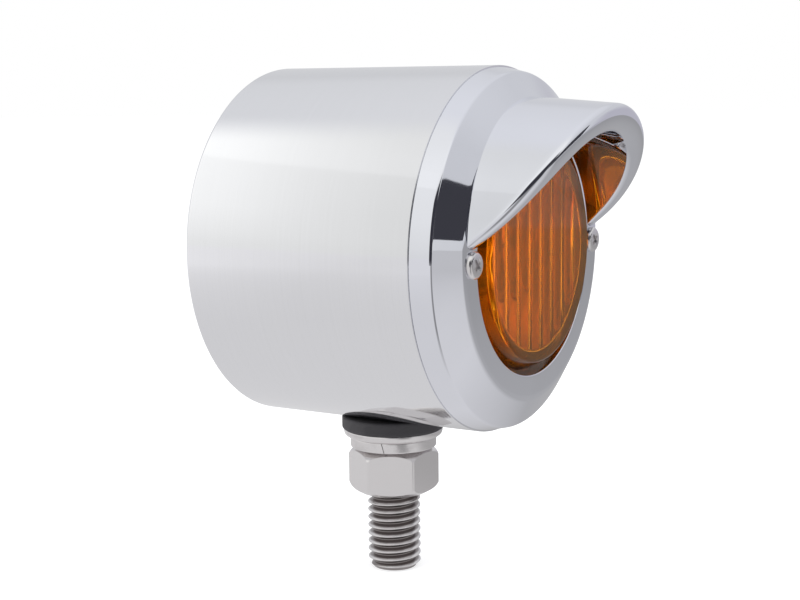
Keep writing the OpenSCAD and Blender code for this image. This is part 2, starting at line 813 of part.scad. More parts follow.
module rubber_washer() {
    color("dimgray") difference() {
        upright(rubber_r, 0, rubber_t + rubber_press);
        upright(stud_hole_r, -cut, rubber_t + rubber_press + cut);
        disc(can_r + running_gap, -2 * rubber_r, 2 * rubber_r);
    }
}

module flat_washer() {
    color("lightgray") difference() {
        upright(flat_r, flat_bottom, 0);
        upright(stud_hole_r, flat_bottom - cut, cut);
    }
}

module lock_washer() {
    color("silver") difference() {
        upright(lock_r, lock_bottom, flat_bottom);
        upright(stud_hole_r, lock_bottom - cut, flat_bottom + cut);
        rotate(lock_split_angle) translate([lock_r, 0, (lock_bottom + flat_bottom) / 2])
            rotate([lock_split_lean, 0, 0])
                cube([2 * (lock_r - stud_r), lock_split, 2 * lock_t], center = true);
    }
}

// Hexagon prism with its corners turned off at both ends.
module hexagon(bottom, top) {
    intersection() {
        translate([0, 0, bottom]) cylinder(h = top - bottom, r = hex_r, $fn = 6);
        rotate_extrude() polygon([
            [0, bottom], [hex_face_r, bottom], [hex_r, bottom + hex_chamfer],
            [hex_r, top - hex_chamfer], [hex_face_r, top], [0, top]
        ]);
    }
}

module hex_nut() {
    color("lightgray") difference() {
        rotate(nut_angle) hexagon(nut_bottom, lock_bottom);
        upright(stud_r + running_gap, nut_bottom - cut, lock_bottom + cut);
    }
}

// Outline of the thread's crests and roots, drawn as rings below the nut.
thread_outline = [
    for (i = [0:thread_turns])
        let (z = thread_top - i * pitch)
        each concat(
            [[stud_r, z], [stud_r, z - crest_w]],
            i < thread_turns
                ? [[stud_end_r, z - crest_w - flank_w], [stud_end_r, z - crest_w - flank_w - root_w]]
                : []
        )
];

module stud_bolt() {
    color("lightgray") union() {
        hexagon(saddle_top, saddle_top + bolt_head_h);
        rotate_extrude() polygon(concat(
            [[0, saddle_top + cut], [shank_r, saddle_top + cut], [shank_r, thread_top]],
            thread_outline,
            [[stud_r, -stud_len + stud_chamfer], [stud_end_r, -stud_len], [0, -stud_len]]
        ));
    }
}

housing();
mounting_ring();
screw_standoffs();
bezel_visor();
lens();
lens_gasket();
lens_screws();
reflector();
socket_flange();
socket_rivets();
socket_shell();
socket_end_cap();
contact_terminal();
contact_spring();
contact_plunger();
contact_button();
bulb_base();
bulb_pins();
bulb_insulator();
bulb_contact();
bulb_glass();
bulb_stem();
filament_supports();
filament();
saddle_plate();
rear_grommet();
rubber_washer();
flat_washer();
lock_washer();
hex_nut();
stud_bolt();
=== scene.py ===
# %% [markdown]
# # A turn signal lamp on a threaded stud
# The lamp is a polished steel can with a chrome bezel screwed on its front. The bezel holds an amber lens
# and carries a half-round visor over it. A bolt through the bottom of the can clamps the lamp to a bracket,
# with a rubber washer, a flat washer, a split lock washer and a hexagon nut on its thread.
# Inside sit a reflector, a bayonet socket and a bulb, seen dimly through the amber.
#
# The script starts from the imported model, which fixes every place and every moving body. It then remakes the
# pieces whose finish matters to the eye, with true roundings and a true thread, and gives all the others
# a finish of their own.

# %% Load the frame
import json
import math

import bmesh
import bpy
from mathutils import Matrix, Vector


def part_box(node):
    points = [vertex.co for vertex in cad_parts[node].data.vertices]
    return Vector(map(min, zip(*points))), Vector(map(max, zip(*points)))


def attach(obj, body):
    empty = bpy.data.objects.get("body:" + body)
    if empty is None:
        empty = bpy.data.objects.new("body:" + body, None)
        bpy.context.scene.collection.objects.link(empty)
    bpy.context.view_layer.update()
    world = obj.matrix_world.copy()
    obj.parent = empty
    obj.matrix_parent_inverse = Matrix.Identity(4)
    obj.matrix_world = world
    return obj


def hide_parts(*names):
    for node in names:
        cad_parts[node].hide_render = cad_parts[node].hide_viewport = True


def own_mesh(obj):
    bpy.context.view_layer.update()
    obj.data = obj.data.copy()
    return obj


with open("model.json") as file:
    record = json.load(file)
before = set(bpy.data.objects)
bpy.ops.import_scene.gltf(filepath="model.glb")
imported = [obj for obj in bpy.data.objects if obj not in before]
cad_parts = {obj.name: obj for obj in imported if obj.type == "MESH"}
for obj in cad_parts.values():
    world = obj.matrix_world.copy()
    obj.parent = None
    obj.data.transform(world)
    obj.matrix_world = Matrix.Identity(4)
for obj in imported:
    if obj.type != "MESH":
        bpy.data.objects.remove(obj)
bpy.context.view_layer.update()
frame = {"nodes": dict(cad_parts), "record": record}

# %% [markdown]
# ## Driving sizes
# The frame is in metres, while a workshop thinks in millimetres. So the sizes below are in millimetres and
# are multiplied by MM when a point is made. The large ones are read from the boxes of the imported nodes.
# Stations along the lamp are counted forward from the axis of the stud, and the lens looks along -Y.

# %% Read the large sizes from the frame
MM = 0.001


def box_mm(node):
    """Lowest and highest corner of a node, in millimetres."""
    low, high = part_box(node)
    return Vector(low) / MM, Vector(high) / MM


can_low, can_high = box_mm("housing")
bezel_low, bezel_high = box_mm("bezel_visor")
lens_low = box_mm("lens")[0]
stud_low, stud_high = box_mm("stud_bolt")

can_r = (can_high.x - can_low.x) / 2
axis_z = (can_high.z + can_low.z) / 2
can_front = -can_low.y
can_back = -can_high.y
visor_tip = -bezel_low.y
lens_front = -lens_low.y
stud_end = stud_low.z
print(f"can {2 * can_r:.1f} mm across, {can_front - can_back:.1f} mm long, axis at {axis_z:.1f} mm")

# %% [markdown]
# ## Camera
# The lamp is seen from its left front, a little from above. A plain camera takes its place from three
# directions at right angles: right, up and backwards. Writing them as the columns of a matrix places the
# camera without any tracking constraint, so nothing can shift when another view is asked for.

# %% Place the camera
eye = Vector((-0.30843, -0.18744, 0.08135))
to_right = Vector((0.51348, -0.85804, -0.01038)).normalized()
to_top = Vector((0.12460, 0.06259, 0.99023))
to_back = to_right.cross(to_top).normalized()
to_top = to_back.cross(to_right)

camera = bpy.data.objects.new("Camera", bpy.data.cameras.new("Camera"))
camera.data.sensor_width = 36
camera.data.lens = 68.85
camera.data.clip_start = 0.01
camera.matrix_world = Matrix((to_right, to_top, to_back)).transposed().to_4x4()
camera.location = eye
bpy.context.scene.collection.objects.link(camera)
bpy.context.scene.camera = camera
bpy.context.scene.view_settings.view_transform = "Standard"
print("camera", [round(v, 3) for v in eye], "lens", camera.data.lens, "mm")

# %% [markdown]
# ## Small helpers
# Every finish below is a node tree. A few helpers keep them readable: one adds a node and fills its sockets,
# and the others place the kinds of node that come up most. An input that is itself a socket becomes a link,
# anything else a setting. One more helper turns a bmesh into an object.

# %% Small helpers


def add(tree, kind, inputs=None, **settings):
    """Add a node, set its properties, and fill or link its input sockets."""
    made = tree.nodes.new(kind)
    for key, value in settings.items():
        setattr(made, key, value)
    for key, value in (inputs or {}).items():
        if isinstance(value, bpy.types.NodeSocket):
            tree.links.new(value, made.inputs[key])
        else:
            made.inputs[key].default_value = value
    return made


def place_group(tree, group, inputs):
    """Place a shared node group in a material with its own values."""
    return add(tree, "ShaderNodeGroup", inputs, node_tree=bpy.data.node_groups[group])


def number(tree, operation, *values):
    """Result of an operation on numbers, such as MULTIPLY."""
    return add(tree, "ShaderNodeMath", dict(enumerate(values)), operation=operation).outputs[0]


def vector(tree, operation, *values):
    """Result of an operation on vectors, such as LENGTH."""
    made = add(tree, "ShaderNodeVectorMath", dict(enumerate(values)), operation=operation)
    return made.outputs["Value" if operation in ("LENGTH", "DOT_PRODUCT") else "Vector"]


def split(tree, value):
    """The X, Y and Z of a vector."""
    return add(tree, "ShaderNodeSeparateXYZ", {0: value}).outputs


def remap(tree, value, start, end, low=0.0, high=1.0, **settings):
    """Value that goes from low to high, and no further, as another goes from start to end."""
    inputs = {"Value": value, "From Min": start, "From Max": end, "To Min": low, "To Max": high}
    return add(tree, "ShaderNodeMapRange", inputs, **settings).outputs["Result"]


def spread(tree, value, low, high):
    """Map a value between 0 and 1 to the range from low to high."""
    return remap(tree, value, 0.0, 1.0, low, high)


def mix(tree, share, first, second):
    """Value that goes from the first to the second by a share."""
    return add(tree, "ShaderNodeMix", {"Factor": share, "A": first, "B": second}).outputs["Result"]


def mix_shaders(tree, share, first, second):
    """Shader that goes from the first to the second by a share."""
    return add(tree, "ShaderNodeMixShader", {0: share, 1: first.outputs[0], 2: second.outputs[0]})


def two_tones(tree, value, first, second, start=0.0, end=1.0):
    """Colour that goes from the first to the second as the value goes from start to end."""
    ramp = add(tree, "ShaderNodeValToRGB", {"Fac": value})
    ramp.color_ramp.elements[0].position = start
    ramp.color_ramp.elements[1].position = end
    ramp.color_ramp.elements[0].color = (*first, 1)
    ramp.color_ramp.elements[1].color = (*second, 1)
    return ramp.outputs["Color"]


def curve(tree, value, stops):
    """Grey value that runs through stops of (position, level)."""
    ramp = add(tree, "ShaderNodeValToRGB", {"Fac": value})
    steps = ramp.color_ramp.elements
    while len(steps) < len(stops):
        steps.new(0.5)
    for step, (position, level) in zip(steps, stops):
        step.position = position
        step.color = (level, level, level, 1)
    return ramp.outputs["Color"]


def new_object(bm, name):
    """Turn a bmesh into an object in the scene; the bmesh is used up."""
    mesh = bpy.data.meshes.new(name)
    bm.to_mesh(mesh)
    bm.free()
    made = bpy.data.objects.new(name, mesh)
    bpy.context.scene.collection.objects.link(made)
    return made


print("small helpers ready")

# %% [markdown]
# ## Studio
# Bright metal is a picture of the room it stands in, so the room is built first. Photographers put a shiny
# lamp in a pale tent, light the tent's wall where a highlight is wanted, and place dark cards where an edge
# needs a dark line. The same is done here: the world is the tent, and flat cards that only reflections can
# see are the dark cards. The camera itself sees plain white behind the lamp.
#
# The tent is a plain cool grey on the right. Its left wall is brighter: it is lit from about 40 degrees up,
# with a firm lower edge that climbs to the rear, it darkens towards the ground, and it is brightest to the
# rear. So its level is a curve of the height of a direction, times a curve of how far that direction points
# back. Near the ground that second curve is gentler, and the floor shares it, so that no line shows where
# they meet. Seen through the lens, the tent is brighter than white, which makes the amber glow.

# %% World: a pale tent, white to the camera
REAR_LIFT = (0.50, 0.63, 0.94, 1.10)
THROUGH_LENS = 1.95
world = bpy.data.worlds.new("Pale tent")
bpy.context.scene.world = world
world.use_nodes = True
tent = world.node_tree
tent.nodes.clear()
path = add(tent, "ShaderNodeLightPath").outputs
way = split(tent, add(tent, "ShaderNodeTexCoord").outputs["Generated"])
height = number(tent, "SUBTRACT", way["Z"], remap(tent, way["Y"], 0.5, 0.7, 0.0, 0.068))
climb = curve(tent, height, [
    (0.0, 0.86), (0.09, 0.885), (0.34, 0.92), (0.55, 0.945), (0.643, 0.955), (0.652, 1.025), (0.75, 1.03),
    (0.85, 1.0), (1.0, 0.93)])
rearward = curve(tent, spread(tent, way["Y"], 0.5, 1.0), [
    (0.40, 0.92), (0.53, 1.0), (0.60, 0.98), (0.66, 0.85), (0.73, 0.90), (0.755, 0.90), (0.78, 1.0),
    (0.805, 1.18), (0.84, 1.26)])
gentle = remap(tent, way["Y"], *REAR_LIFT)
rear = mix(tent, remap(tent, way["Z"], 0.0, 0.35), gentle, rearward)
wall = number(tent, "MULTIPLY", climb, rear)
leftness = remap(tent, way["X"], 0.08, -0.26, interpolation_type="SMOOTHSTEP")
plain = curve(tent, way["Z"], [(0.0, 0.70), (0.50, 0.71), (0.63, 0.785), (0.80, 0.82), (1.0, 0.88)])
level = mix(tent, leftness, plain, wall)
strength = mix(tent, path["Is Transmission Ray"], level, THROUGH_LENS)
tint = two_tones(tent, leftness, (0.96, 0.97, 1.0), (0.995, 1.0, 0.99))
air = add(tent, "ShaderNodeBackground", {"Color": tint, "Strength": strength})
white = add(tent, "ShaderNodeBackground", {"Color": (1, 1, 1, 1), "Strength": 1.0})
seen = mix_shaders(tent, path["Is Camera Ray"], air, white)
add(tent, "ShaderNodeOutputWorld", {"Surface": seen.outputs[0]})
print("world:", len(tent.nodes), "nodes")

# %% [markdown]
# The floor is a wide disc just under the end of the stud.

# %% Floor disc
floor_z = stud_end - 0.15
disc = bmesh.new()
bmesh.ops.create_circle(disc, cap_ends=True, segments=96, radius=6.0)
bmesh.ops.translate(disc, vec=(0, 0, floor_z * MM), verts=disc.verts)
floor = new_object(disc, "floor")
print(f"floor at {floor_z:.2f} mm")

# %% [markdown]
# Metal sees the floor as a pale table, which brightens away from the lamp's foot on its lit left side and
# behind, and darkens on the other side.

# %% Floor as an open table
floor_paint = bpy.data.materials.new("Pale floor")
floor_paint.use_nodes = True
tree = floor_paint.node_tree
tree.nodes.clear()
spot = add(tree, "ShaderNodeTexCoord").outputs["Object"]
flat = vector(tree, "MULTIPLY", spot, (1, 1, 0))
away = vector(tree, "LENGTH", flat)
way = vector(tree, "NORMALIZE", flat)
way_to = split(tree, way)
left_or_behind = number(tree, "MAXIMUM", number(tree, "MULTIPLY", way_to["X"], -1.0), way_to["Y"])
lit = remap(tree, away, 0.12, 0.5, 0.715, 0.84)
unlit = remap(tree, away, 0.15, 0.6, 0.73, 0.63)
open_table = mix(tree, remap(tree, left_or_behind, 0.3, 0.75), unlit, lit)
print("open table:", len(tree.nodes), "nodes")

# %% [markdown]
# Three shades lie on that table: it dims to the right of the stud, a dark lane runs to the left front, and
# far from the lamp it takes the same lift to the rear as the tent.

# %% Shades on the table
spot_at = split(tree, spot)
rightward = number(tree, "SUBTRACT", spot_at["X"], number(tree, "MAXIMUM", spot_at["Y"], 0.0))
dim = remap(tree, rightward, -0.01, 0.07, 1.03, 0.62)
lane = vector(tree, "DOT_PRODUCT", way, (-0.574, -0.819, 0))
lane_shade = remap(tree, lane, 0.955, 0.99, 1.0, remap(tree, away, 0.07, 0.14, 1.0, 0.4))
far_back = remap(tree, way_to["Y"], *REAR_LIFT)
lift = mix(tree, remap(tree, away, 0.1, 0.45), 1.0, far_back)
shades = number(tree, "MULTIPLY", number(tree, "MULTIPLY", dim, lift), lane_shade)
in_mirror = number(tree, "MULTIPLY", open_table, shades)
print("shaded table:", len(tree.nodes), "nodes")

# %% [markdown]
# The kind of ray decides which floor is seen. To the camera it adds a little light of its own, so that open
# floor is white while the shadow of the lamp stays on it. Metal sees the shaded table, the lens sees a table
# as bright as the tent, and every other ray meets plain matt paint.

# %% Floor for each kind of ray
path = add(tree, "ShaderNodeLightPath").outputs
matt = add(tree, "ShaderNodeBsdfDiffuse", {"Color": (0.6, 0.6, 0.61, 1)})
glow = add(tree, "ShaderNodeEmission", {"Color": (1, 1, 1, 1), "Strength": 0.55})
white = add(tree, "ShaderNodeAddShader", {0: matt.outputs[0], 1: glow.outputs[0]})
strength = mix(tree, path["Is Transmission Ray"], in_mirror, THROUGH_LENS)
table = add(tree, "ShaderNodeEmission", {"Color": (0.99, 0.985, 1.0, 1), "Strength": strength})
mirrored = number(tree, "MAXIMUM", path["Is Glossy Ray"], path["Is Transmission Ray"])
in_metal = mix_shaders(tree, mirrored, matt, table)
seen = mix_shaders(tree, path["Is Camera Ray"], in_metal, white)
add(tree, "ShaderNodeOutputMaterial", {"Surface": seen.outputs[0]})
floor.data.materials.append(floor_paint)
print("floor paint:", len(tree.nodes), "nodes")

# %% [markdown]
# A card is one square of mesh, turned to face the lamp and placed by its bearing, height angle and distance.
# Bearing 0 is straight ahead of the lens and -90 is to its left. It fades towards its edges, where it becomes
# see-through, by a share called softness.

# %% Cards that only reflections see
lamp_middle = Vector((0, -0.010, axis_z * MM))


def card(name, bearing, rise, distance, width, height, colour, softness):
    """A flat card facing the lamp, seen by metal and glass only."""
    turn, lift = math.radians(bearing), math.radians(rise)
    away = Vector((math.sin(turn) * math.cos(lift), -math.cos(turn) * math.cos(lift), math.sin(lift)))
    bm = bmesh.new()
    bmesh.ops.create_grid(bm, x_segments=1, y_segments=1, size=1)
    bmesh.ops.scale(bm, vec=(width / 2, height / 2, 1), verts=bm.verts)
    piece = new_object(bm, name)
    piece.matrix_world = away.to_track_quat("Z", "Y").to_matrix().to_4x4()
    piece.location = lamp_middle + away * distance

    paint = bpy.data.materials.new(name)
    paint.use_nodes = True
    tree = paint.node_tree
    tree.nodes.clear()
    place = add(tree, "ShaderNodeTexCoord").outputs["Object"]
    sides = split(tree, vector(tree, "MULTIPLY", place, (2 / width, 2 / height, 0)))
    masks = []
    for axis, soft in zip("XY", softness):
        reach = number(tree, "ABSOLUTE", sides[axis])
        masks.append(remap(tree, reach, 1.0, 1.0 - soft, interpolation_type="SMOOTHSTEP"))
    light = add(tree, "ShaderNodeEmission", {"Color": (*colour, 1), "Strength": 1.0})
    clear = add(tree, "ShaderNodeBsdfTransparent")
    both = mix_shaders(tree, number(tree, "MULTIPLY", *masks), clear, light)
    add(tree, "ShaderNodeOutputMaterial", {"Surface": both.outputs[0]})
    piece.data.materials.append(paint)
    piece.visible_camera = False
    piece.visible_diffuse = False
    piece.visible_shadow = False
    return piece


cards = [
    card("dark_card", 6, 12.5, 0.70, 0.64, 0.235, (0.05, 0.05, 0.06), (0.02, 0.04)),
    card("camera_stand", -46, 15.5, 0.90, 1.04, 0.78, (0.04, 0.04, 0.05), (0.25, 0.3)),
    card("right_shade", 70, 4, 0.90, 1.30, 0.70, (0.53, 0.52, 0.58), (0.7, 0.7)),
    card("far_shade", 121, -6, 0.40, 0.17, 0.17, (0.34, 0.35, 0.41), (0.5, 0.5)),
]
print("cards:", ", ".join(piece.name for piece in cards))

# %% [markdown]
# Rubber and the floor do not mirror the room, so two lamps shade them: one high up to the left of the camera,
# and a weaker one from the right. Reflections leave both out, because the lit tent stands for them there.

# %% Lamps


def area_lamp(name, place, size, power):
    """A square lamp that looks at the middle of the object."""
    lamp = bpy.data.objects.new(name, bpy.data.lights.new(name, "AREA"))
    lamp.data.size = size
    lamp.data.energy = power
    lamp.location = place
    lamp.rotation_euler = (Vector(place) - lamp_middle).to_track_quat("Z", "Y").to_euler()
    lamp.visible_glossy = False
    lamp.visible_transmission = False
    bpy.context.scene.collection.objects.link(lamp)
    return lamp


lamps = [
    area_lamp("Key lamp", (-0.55, 0.25, 0.75), 0.5, 4.0),
    area_lamp("Fill lamp", (0.45, -0.55, 0.40), 0.5, 3.0),
]
print("lamps:", ", ".join(lamp.name for lamp in lamps))

# %% [markdown]
# ## Shared surface effects
# Three effects turn up in many of the finishes, so each is one node group. Drawn grain is noise that is
# stretched along one direction, which gives polishing lines round a turned part or an even grain when it is
# not stretched. Handling marks are the soft smudges of a part that has been held. The third group picks out
# convex edges, where a finish is rubbed bright by use, and it is low in hollows, where painted shade goes.

# %% Node groups


def new_group(name, inputs, outputs):
    """An empty shader node group with named sockets, and its two end nodes."""
    group = bpy.data.node_groups.new(name, "ShaderNodeTree")
    for title, kind in inputs:
        group.interface.new_socket(title, in_out="INPUT", socket_type=kind)
    for title in outputs:
        group.interface.new_socket(title, in_out="OUTPUT", socket_type="NodeSocketFloat")
    return group, group.nodes.new("NodeGroupInput"), group.nodes.new("NodeGroupOutput")


VECTOR, FLOAT = "NodeSocketVector", "NodeSocketFloat"

group, given, made = new_group("Drawn grain", [("Vector", VECTOR), ("Stretch", VECTOR)], ["Grain"])
drawn = vector(group, "MULTIPLY", given.outputs[0], given.outputs[1])
noise = add(group, "ShaderNodeTexNoise", {"Vector": drawn, "Scale": 1.0, "Detail": 4.0})
group.links.new(noise.outputs["Fac"], made.inputs["Grain"])

group, given, made = new_group("Handling marks", [("Vector", VECTOR), ("Scale", FLOAT)], ["Smudge"])
noise = add(group, "ShaderNodeTexNoise", {"Vector": given.outputs[0], "Scale": given.outputs[1],
                                          "Detail": 5.0, "Distortion": 0.6})
group.links.new(remap(group, noise.outputs["Fac"], 0.45, 0.75), made.inputs["Smudge"])

group, given, made = new_group("Edge wear and hollow shade", [("Start", FLOAT), ("Full", FLOAT)], ["Worn"])
# High on convex edges rubbed bright by use, low in hollows, which the bright steel paints as shade.
edge = add(group, "ShaderNodeNewGeometry").outputs["Pointiness"]
group.links.new(remap(group, edge, given.outputs[0], given.outputs[1]), made.inputs["Worn"])
print("node groups:", ", ".join(sorted(g.name for g in bpy.data.node_groups)))

# %% [markdown]
# ## Finishes
# Each finish starts from a Principled shader. Its constant values are set on the shader's own sockets, and
# only what changes over the surface is linked. Patterns read Object coordinates, in metres, so a stretch of
# 5200 along Y gives lines about a fifth of a millimetre wide.

# %% Start of every finish


def new_finish(name, metallic, rough, colour, **plain):
    """A material, its tree, its shader and its Object coordinate."""
    material = bpy.data.materials.new(name)
    material.use_nodes = True
    tree = material.node_tree
    shader = tree.nodes["Principled BSDF"]
    shader.inputs["Metallic"].default_value = metallic
    shader.inputs["Roughness"].default_value = rough
    shader.inputs["Base Color"].default_value = (*colour, 1)
    for key, value in plain.items():
        shader.inputs[key.replace("_", " ")].default_value = value
    place = add(tree, "ShaderNodeTexCoord").outputs["Object"]
    return material, tree, shader, place


def ruffle(tree, shader, height, depth, strength=1.0):
    """Small relief: the height, from 0 to 1, stands up by a depth in metres."""
    bump = add(tree, "ShaderNodeBump", {"Height": height, "Distance": depth, "Strength": strength})
    tree.links.new(bump.outputs["Normal"], shader.inputs["Normal"])


def drawn_grain(tree, place, stretch):
    """Drawn grain, as a value from 0 to 1."""
    return place_group(tree, "Drawn grain", {"Vector": place, "Stretch": stretch}).outputs["Grain"]


def smudges(tree, place, scale):
    """Handling marks, as a value from 0 to 1."""
    return place_group(tree, "Handling marks", {"Vector": place, "Scale": scale}).outputs["Smudge"]


finishes = {}


def keep_finish(slot, material, tone=None, rough=None):
    """Link the colour and the roughness that vary, and keep the finish under its slot."""
    tree = material.node_tree
    shader = tree.nodes["Principled BSDF"]
    for value, socket in ((tone, "Base Color"), (rough, "Roughness")):
        if value is not None:
            tree.links.new(value, shader.inputs[socket])
    finishes[slot] = material
    print(material.name)


print("finish helpers ready")

# %% [markdown]
# The can is stainless sheet, spun to shape and buffed on the lathe. Buffing leaves faint lines round it, so
# the grain is stretched to run round the lamp axis: fine along Y, long across it.

# %% Polished steel
material, tree, shader, place = new_finish("Polished steel", 1.0, 0.1, (0.82, 0.82, 0.83))
lines = drawn_grain(tree, place, (16, 5200, 16))
tone = two_tones(tree, lines, (0.812, 0.814, 0.832), (0.828, 0.830, 0.850), 0.3, 0.7)
rough = number(tree, "MULTIPLY_ADD", smudges(tree, place, 26.0), 0.03, spread(tree, lines, 0.06, 0.09))
ruffle(tree, shader, lines, 0.0000003)
keep_finish("polished_steel", material, tone, rough)

# %% [markdown]
# The bezel is a zinc casting with bright chrome plate, bluer than steel and nearly a mirror. A casting is
# never quite flat, so a slow, very shallow waviness bends its reflections, and smudges dull it a little.

# %% Chrome
material, tree, shader, place = new_finish("Chrome plate", 1.0, 0.03, (0.80, 0.82, 0.88))
waves = drawn_grain(tree, place, (70, 70, 70))
smudge = smudges(tree, place, 40.0)
tone = two_tones(tree, smudge, (0.81, 0.82, 0.872), (0.78, 0.79, 0.838))
ruffle(tree, shader, waves, 0.00003, 0.35)
keep_finish("chrome", material, tone, spread(tree, smudge, 0.02, 0.06))

# %% [markdown]
# The lens is clear amber plastic. Light passes its skin on the way in and on the way out, and the thicker the
# plastic is the deeper its colour, so the skin is tinted and the body absorbs some more. Painted shade makes
# the lens darker towards its edge and towards its bottom, by masks of distance from the lamp axis and of
# height. A fine ripple in the moulding breaks the reflection on its face.

# %% Amber
material, tree, shader, place = new_finish("Amber plastic", 0.0, 0.03, (1.0, 0.42, 0.03), IOR=1.49,
                                           Transmission_Weight=0.9, Specular_Tint=(1.0, 0.4, 0.05, 1))
haze = drawn_grain(tree, place, (240, 240, 240))
from_lamp_axis = vector(tree, "SUBTRACT", place, (0, 0, axis_z * MM))
reach = vector(tree, "LENGTH", vector(tree, "MULTIPLY", from_lamp_axis, (1, 0, 1)))
# Painted shade: the lens darkens towards its edge.
painted_rim_shade = remap(tree, reach, 0.0240, 0.0256, 0.0, 0.70)
# Painted shade: the lens darkens towards its bottom.
painted_low_shade = remap(tree, split(tree, from_lamp_axis)["Z"], -0.004, -0.024, 0.0, 0.42)
shade = number(tree, "MULTIPLY_ADD", haze, 0.1, number(tree, "ADD", painted_rim_shade, painted_low_shade))
# The second tone is the painted shade; the random haze moves the colour only a little.
tone = two_tones(tree, shade, (1.0, 0.385, 0.008), (0.33, 0.14, 0.004), 0.03, 1.0)
ruffle(tree, shader, haze, 0.00001, 0.3)
depth = add(tree, "ShaderNodeVolumeAbsorption", {"Color": (1.0, 0.36, 0.02, 1), "Density": 40.0})
tree.links.new(depth.outputs[0], tree.nodes["Material Output"].inputs["Volume"])
keep_finish("amber", material, tone, spread(tree, haze, 0.015, 0.06))

# %% [markdown]
# The nut, the bolt, the washers and the screws are turned stainless. The lathe leaves lines round the stud,
# so the grain is fine along Z. Edges rubbed by use are bright and handling marks smudge the steel. Painted
# shade darkens the hollows and the thread, all that lies nearer to the stud's axis than the crests.

# %% Bright steel
material, tree, shader, place = new_finish("Bright steel", 1.0, 0.22, (0.74, 0.73, 0.72))
lines = drawn_grain(tree, place, (260, 260, 4200))
# High on edges rubbed bright by use, low in hollows, which get painted shade.
wear_and_hollow_shade = place_group(tree, "Edge wear and hollow shade", {"Start": 0.44, "Full": 0.56}).outputs["Worn"]
reach = vector(tree, "LENGTH", vector(tree, "MULTIPLY", place, (1, 1, 0)))
# Painted shade in the thread: all that lies nearer to the stud's axis than the crests goes dark.
clear_of_painted_shade = number(tree, "MULTIPLY", wear_and_hollow_shade, remap(tree, reach, 0.0057, 0.00615))
smudges_and_painted_shade = number(tree, "MULTIPLY_ADD", smudges(tree, place, 120.0), -0.25, clear_of_painted_shade)
# The dark tone is painted shade, mixed lightly with the handling marks.
tone = two_tones(tree, smudges_and_painted_shade, (0.27, 0.245, 0.24), (0.77, 0.75, 0.75), 0.0, 0.6)
ruffle(tree, shader, lines, 0.000006, 0.6)
keep_finish("bright_steel", material, tone, spread(tree, lines, 0.14, 0.32))

# %% [markdown]
# Sheet parts inside the can are zinc plated: a soft, slightly mottled grey with small crystals.

# %% Plated steel
material, tree, shader, place = new_finish("Zinc plate", 1.0, 0.35, (0.68, 0.69, 0.70))
spangle = add(tree, "ShaderNodeTexVoronoi", {"Vector": place, "Scale": 900.0}).outputs["Distance"]
tone = two_tones(tree, spangle, (0.62, 0.63, 0.64), (0.73, 0.74, 0.75))
keep_finish("plated_steel", material, tone, spread(tree, smudges(tree, place, 60.0), 0.28, 0.45))

# %% [markdown]
# The washer under the can, the gasket and the grommet are moulded black rubber: dull, with the fine grain of
# the mould and a breath of pale bloom where it has been rubbed.

# %% Rubber
material, tree, shader, place = new_finish("Black rubber", 0.0, 0.6, (0.02, 0.02, 0.022))
grain = drawn_grain(tree, place, (2600, 2600, 2600))
tone = two_tones(tree, smudges(tree, place, 140.0), (0.042, 0.040, 0.045), (0.080, 0.076, 0.082))
ruffle(tree, shader, grain, 0.00003, 0.5)
keep_finish("rubber", material, tone, spread(tree, grain, 0.48, 0.72))

# %% [markdown]
# The reflector is bright spun aluminium, with spinning lines round the lamp axis. Brass shows the same lines
# with a warm colour, and the bulb's cap is brass with a thin nickel skin.

# %% Spun metals inside
spun = [
    ("reflector_metal", "Spun aluminium", (0.86, 0.86, 0.87), (0.92, 0.92, 0.93), 0.18, 0.3, 3600),
    ("brass", "Satin brass", (0.70, 0.52, 0.22), (0.82, 0.64, 0.31), 0.22, 0.4, 2600),
    ("cap_metal", "Nickelled cap", (0.70, 0.68, 0.62), (0.79, 0.77, 0.71), 0.16, 0.3, 2600),
]
for slot, name, dark, light, fine, dull, pace in spun:
    material, tree, shader, place = new_finish(name, 1.0, fine, light)
    lines = drawn_grain(tree, place, (40, pace, 40))
    tone = two_tones(tree, smudges(tree, place, 70.0), light, dark)
    ruffle(tree, shader, lines, 0.000003, 0.6)
    keep_finish(slot, material, tone, spread(tree, lines, fine, dull))

# %% [markdown]
# Four small finishes are left: pressed fibre board for the socket's insulators, fused black glass in the
# bulb's cap, clear blown glass, and the grey drawn wire of the filament.

# %% Fibre, glass and wire
material, tree, shader, place = new_finish("Pressed fibre", 0.0, 0.7, (0.30, 0.15, 0.07))
fibres = drawn_grain(tree, place, (900, 200, 2600))
ruffle(tree, shader, fibres, 0.00002, 0.6)
keep_finish("fibre", material, two_tones(tree, fibres, (0.22, 0.10, 0.045), (0.38, 0.20, 0.10), 0.3, 0.7))

material, tree, shader, place = new_finish("Black glass", 0.0, 0.15, (0.02, 0.02, 0.022))
pits = drawn_grain(tree, place, (1500, 1500, 1500))
tone = two_tones(tree, pits, (0.012, 0.012, 0.014), (0.04, 0.04, 0.045))
keep_finish("black_glass", material, tone, spread(tree, pits, 0.08, 0.3))

material, tree, shader, place = new_finish("Clear glass", 0.0, 0.0, (0.97, 0.985, 0.985), IOR=1.5,
                                           Transmission_Weight=1.0)
waves = drawn_grain(tree, place, (160, 160, 160))
ruffle(tree, shader, waves, 0.00003, 0.4)
keep_finish("clear_glass", material, rough=spread(tree, waves, 0.0, 0.02))

material, tree, shader, place = new_finish("Drawn wire", 1.0, 0.4, (0.30, 0.29, 0.28))
grain = drawn_grain(tree, place, (600, 3000, 3000))
tone = two_tones(tree, grain, (0.22, 0.21, 0.20), (0.40, 0.39, 0.38))
keep_finish("tungsten", material, tone, spread(tree, grain, 0.3, 0.5))
print(len(finishes), "finishes")

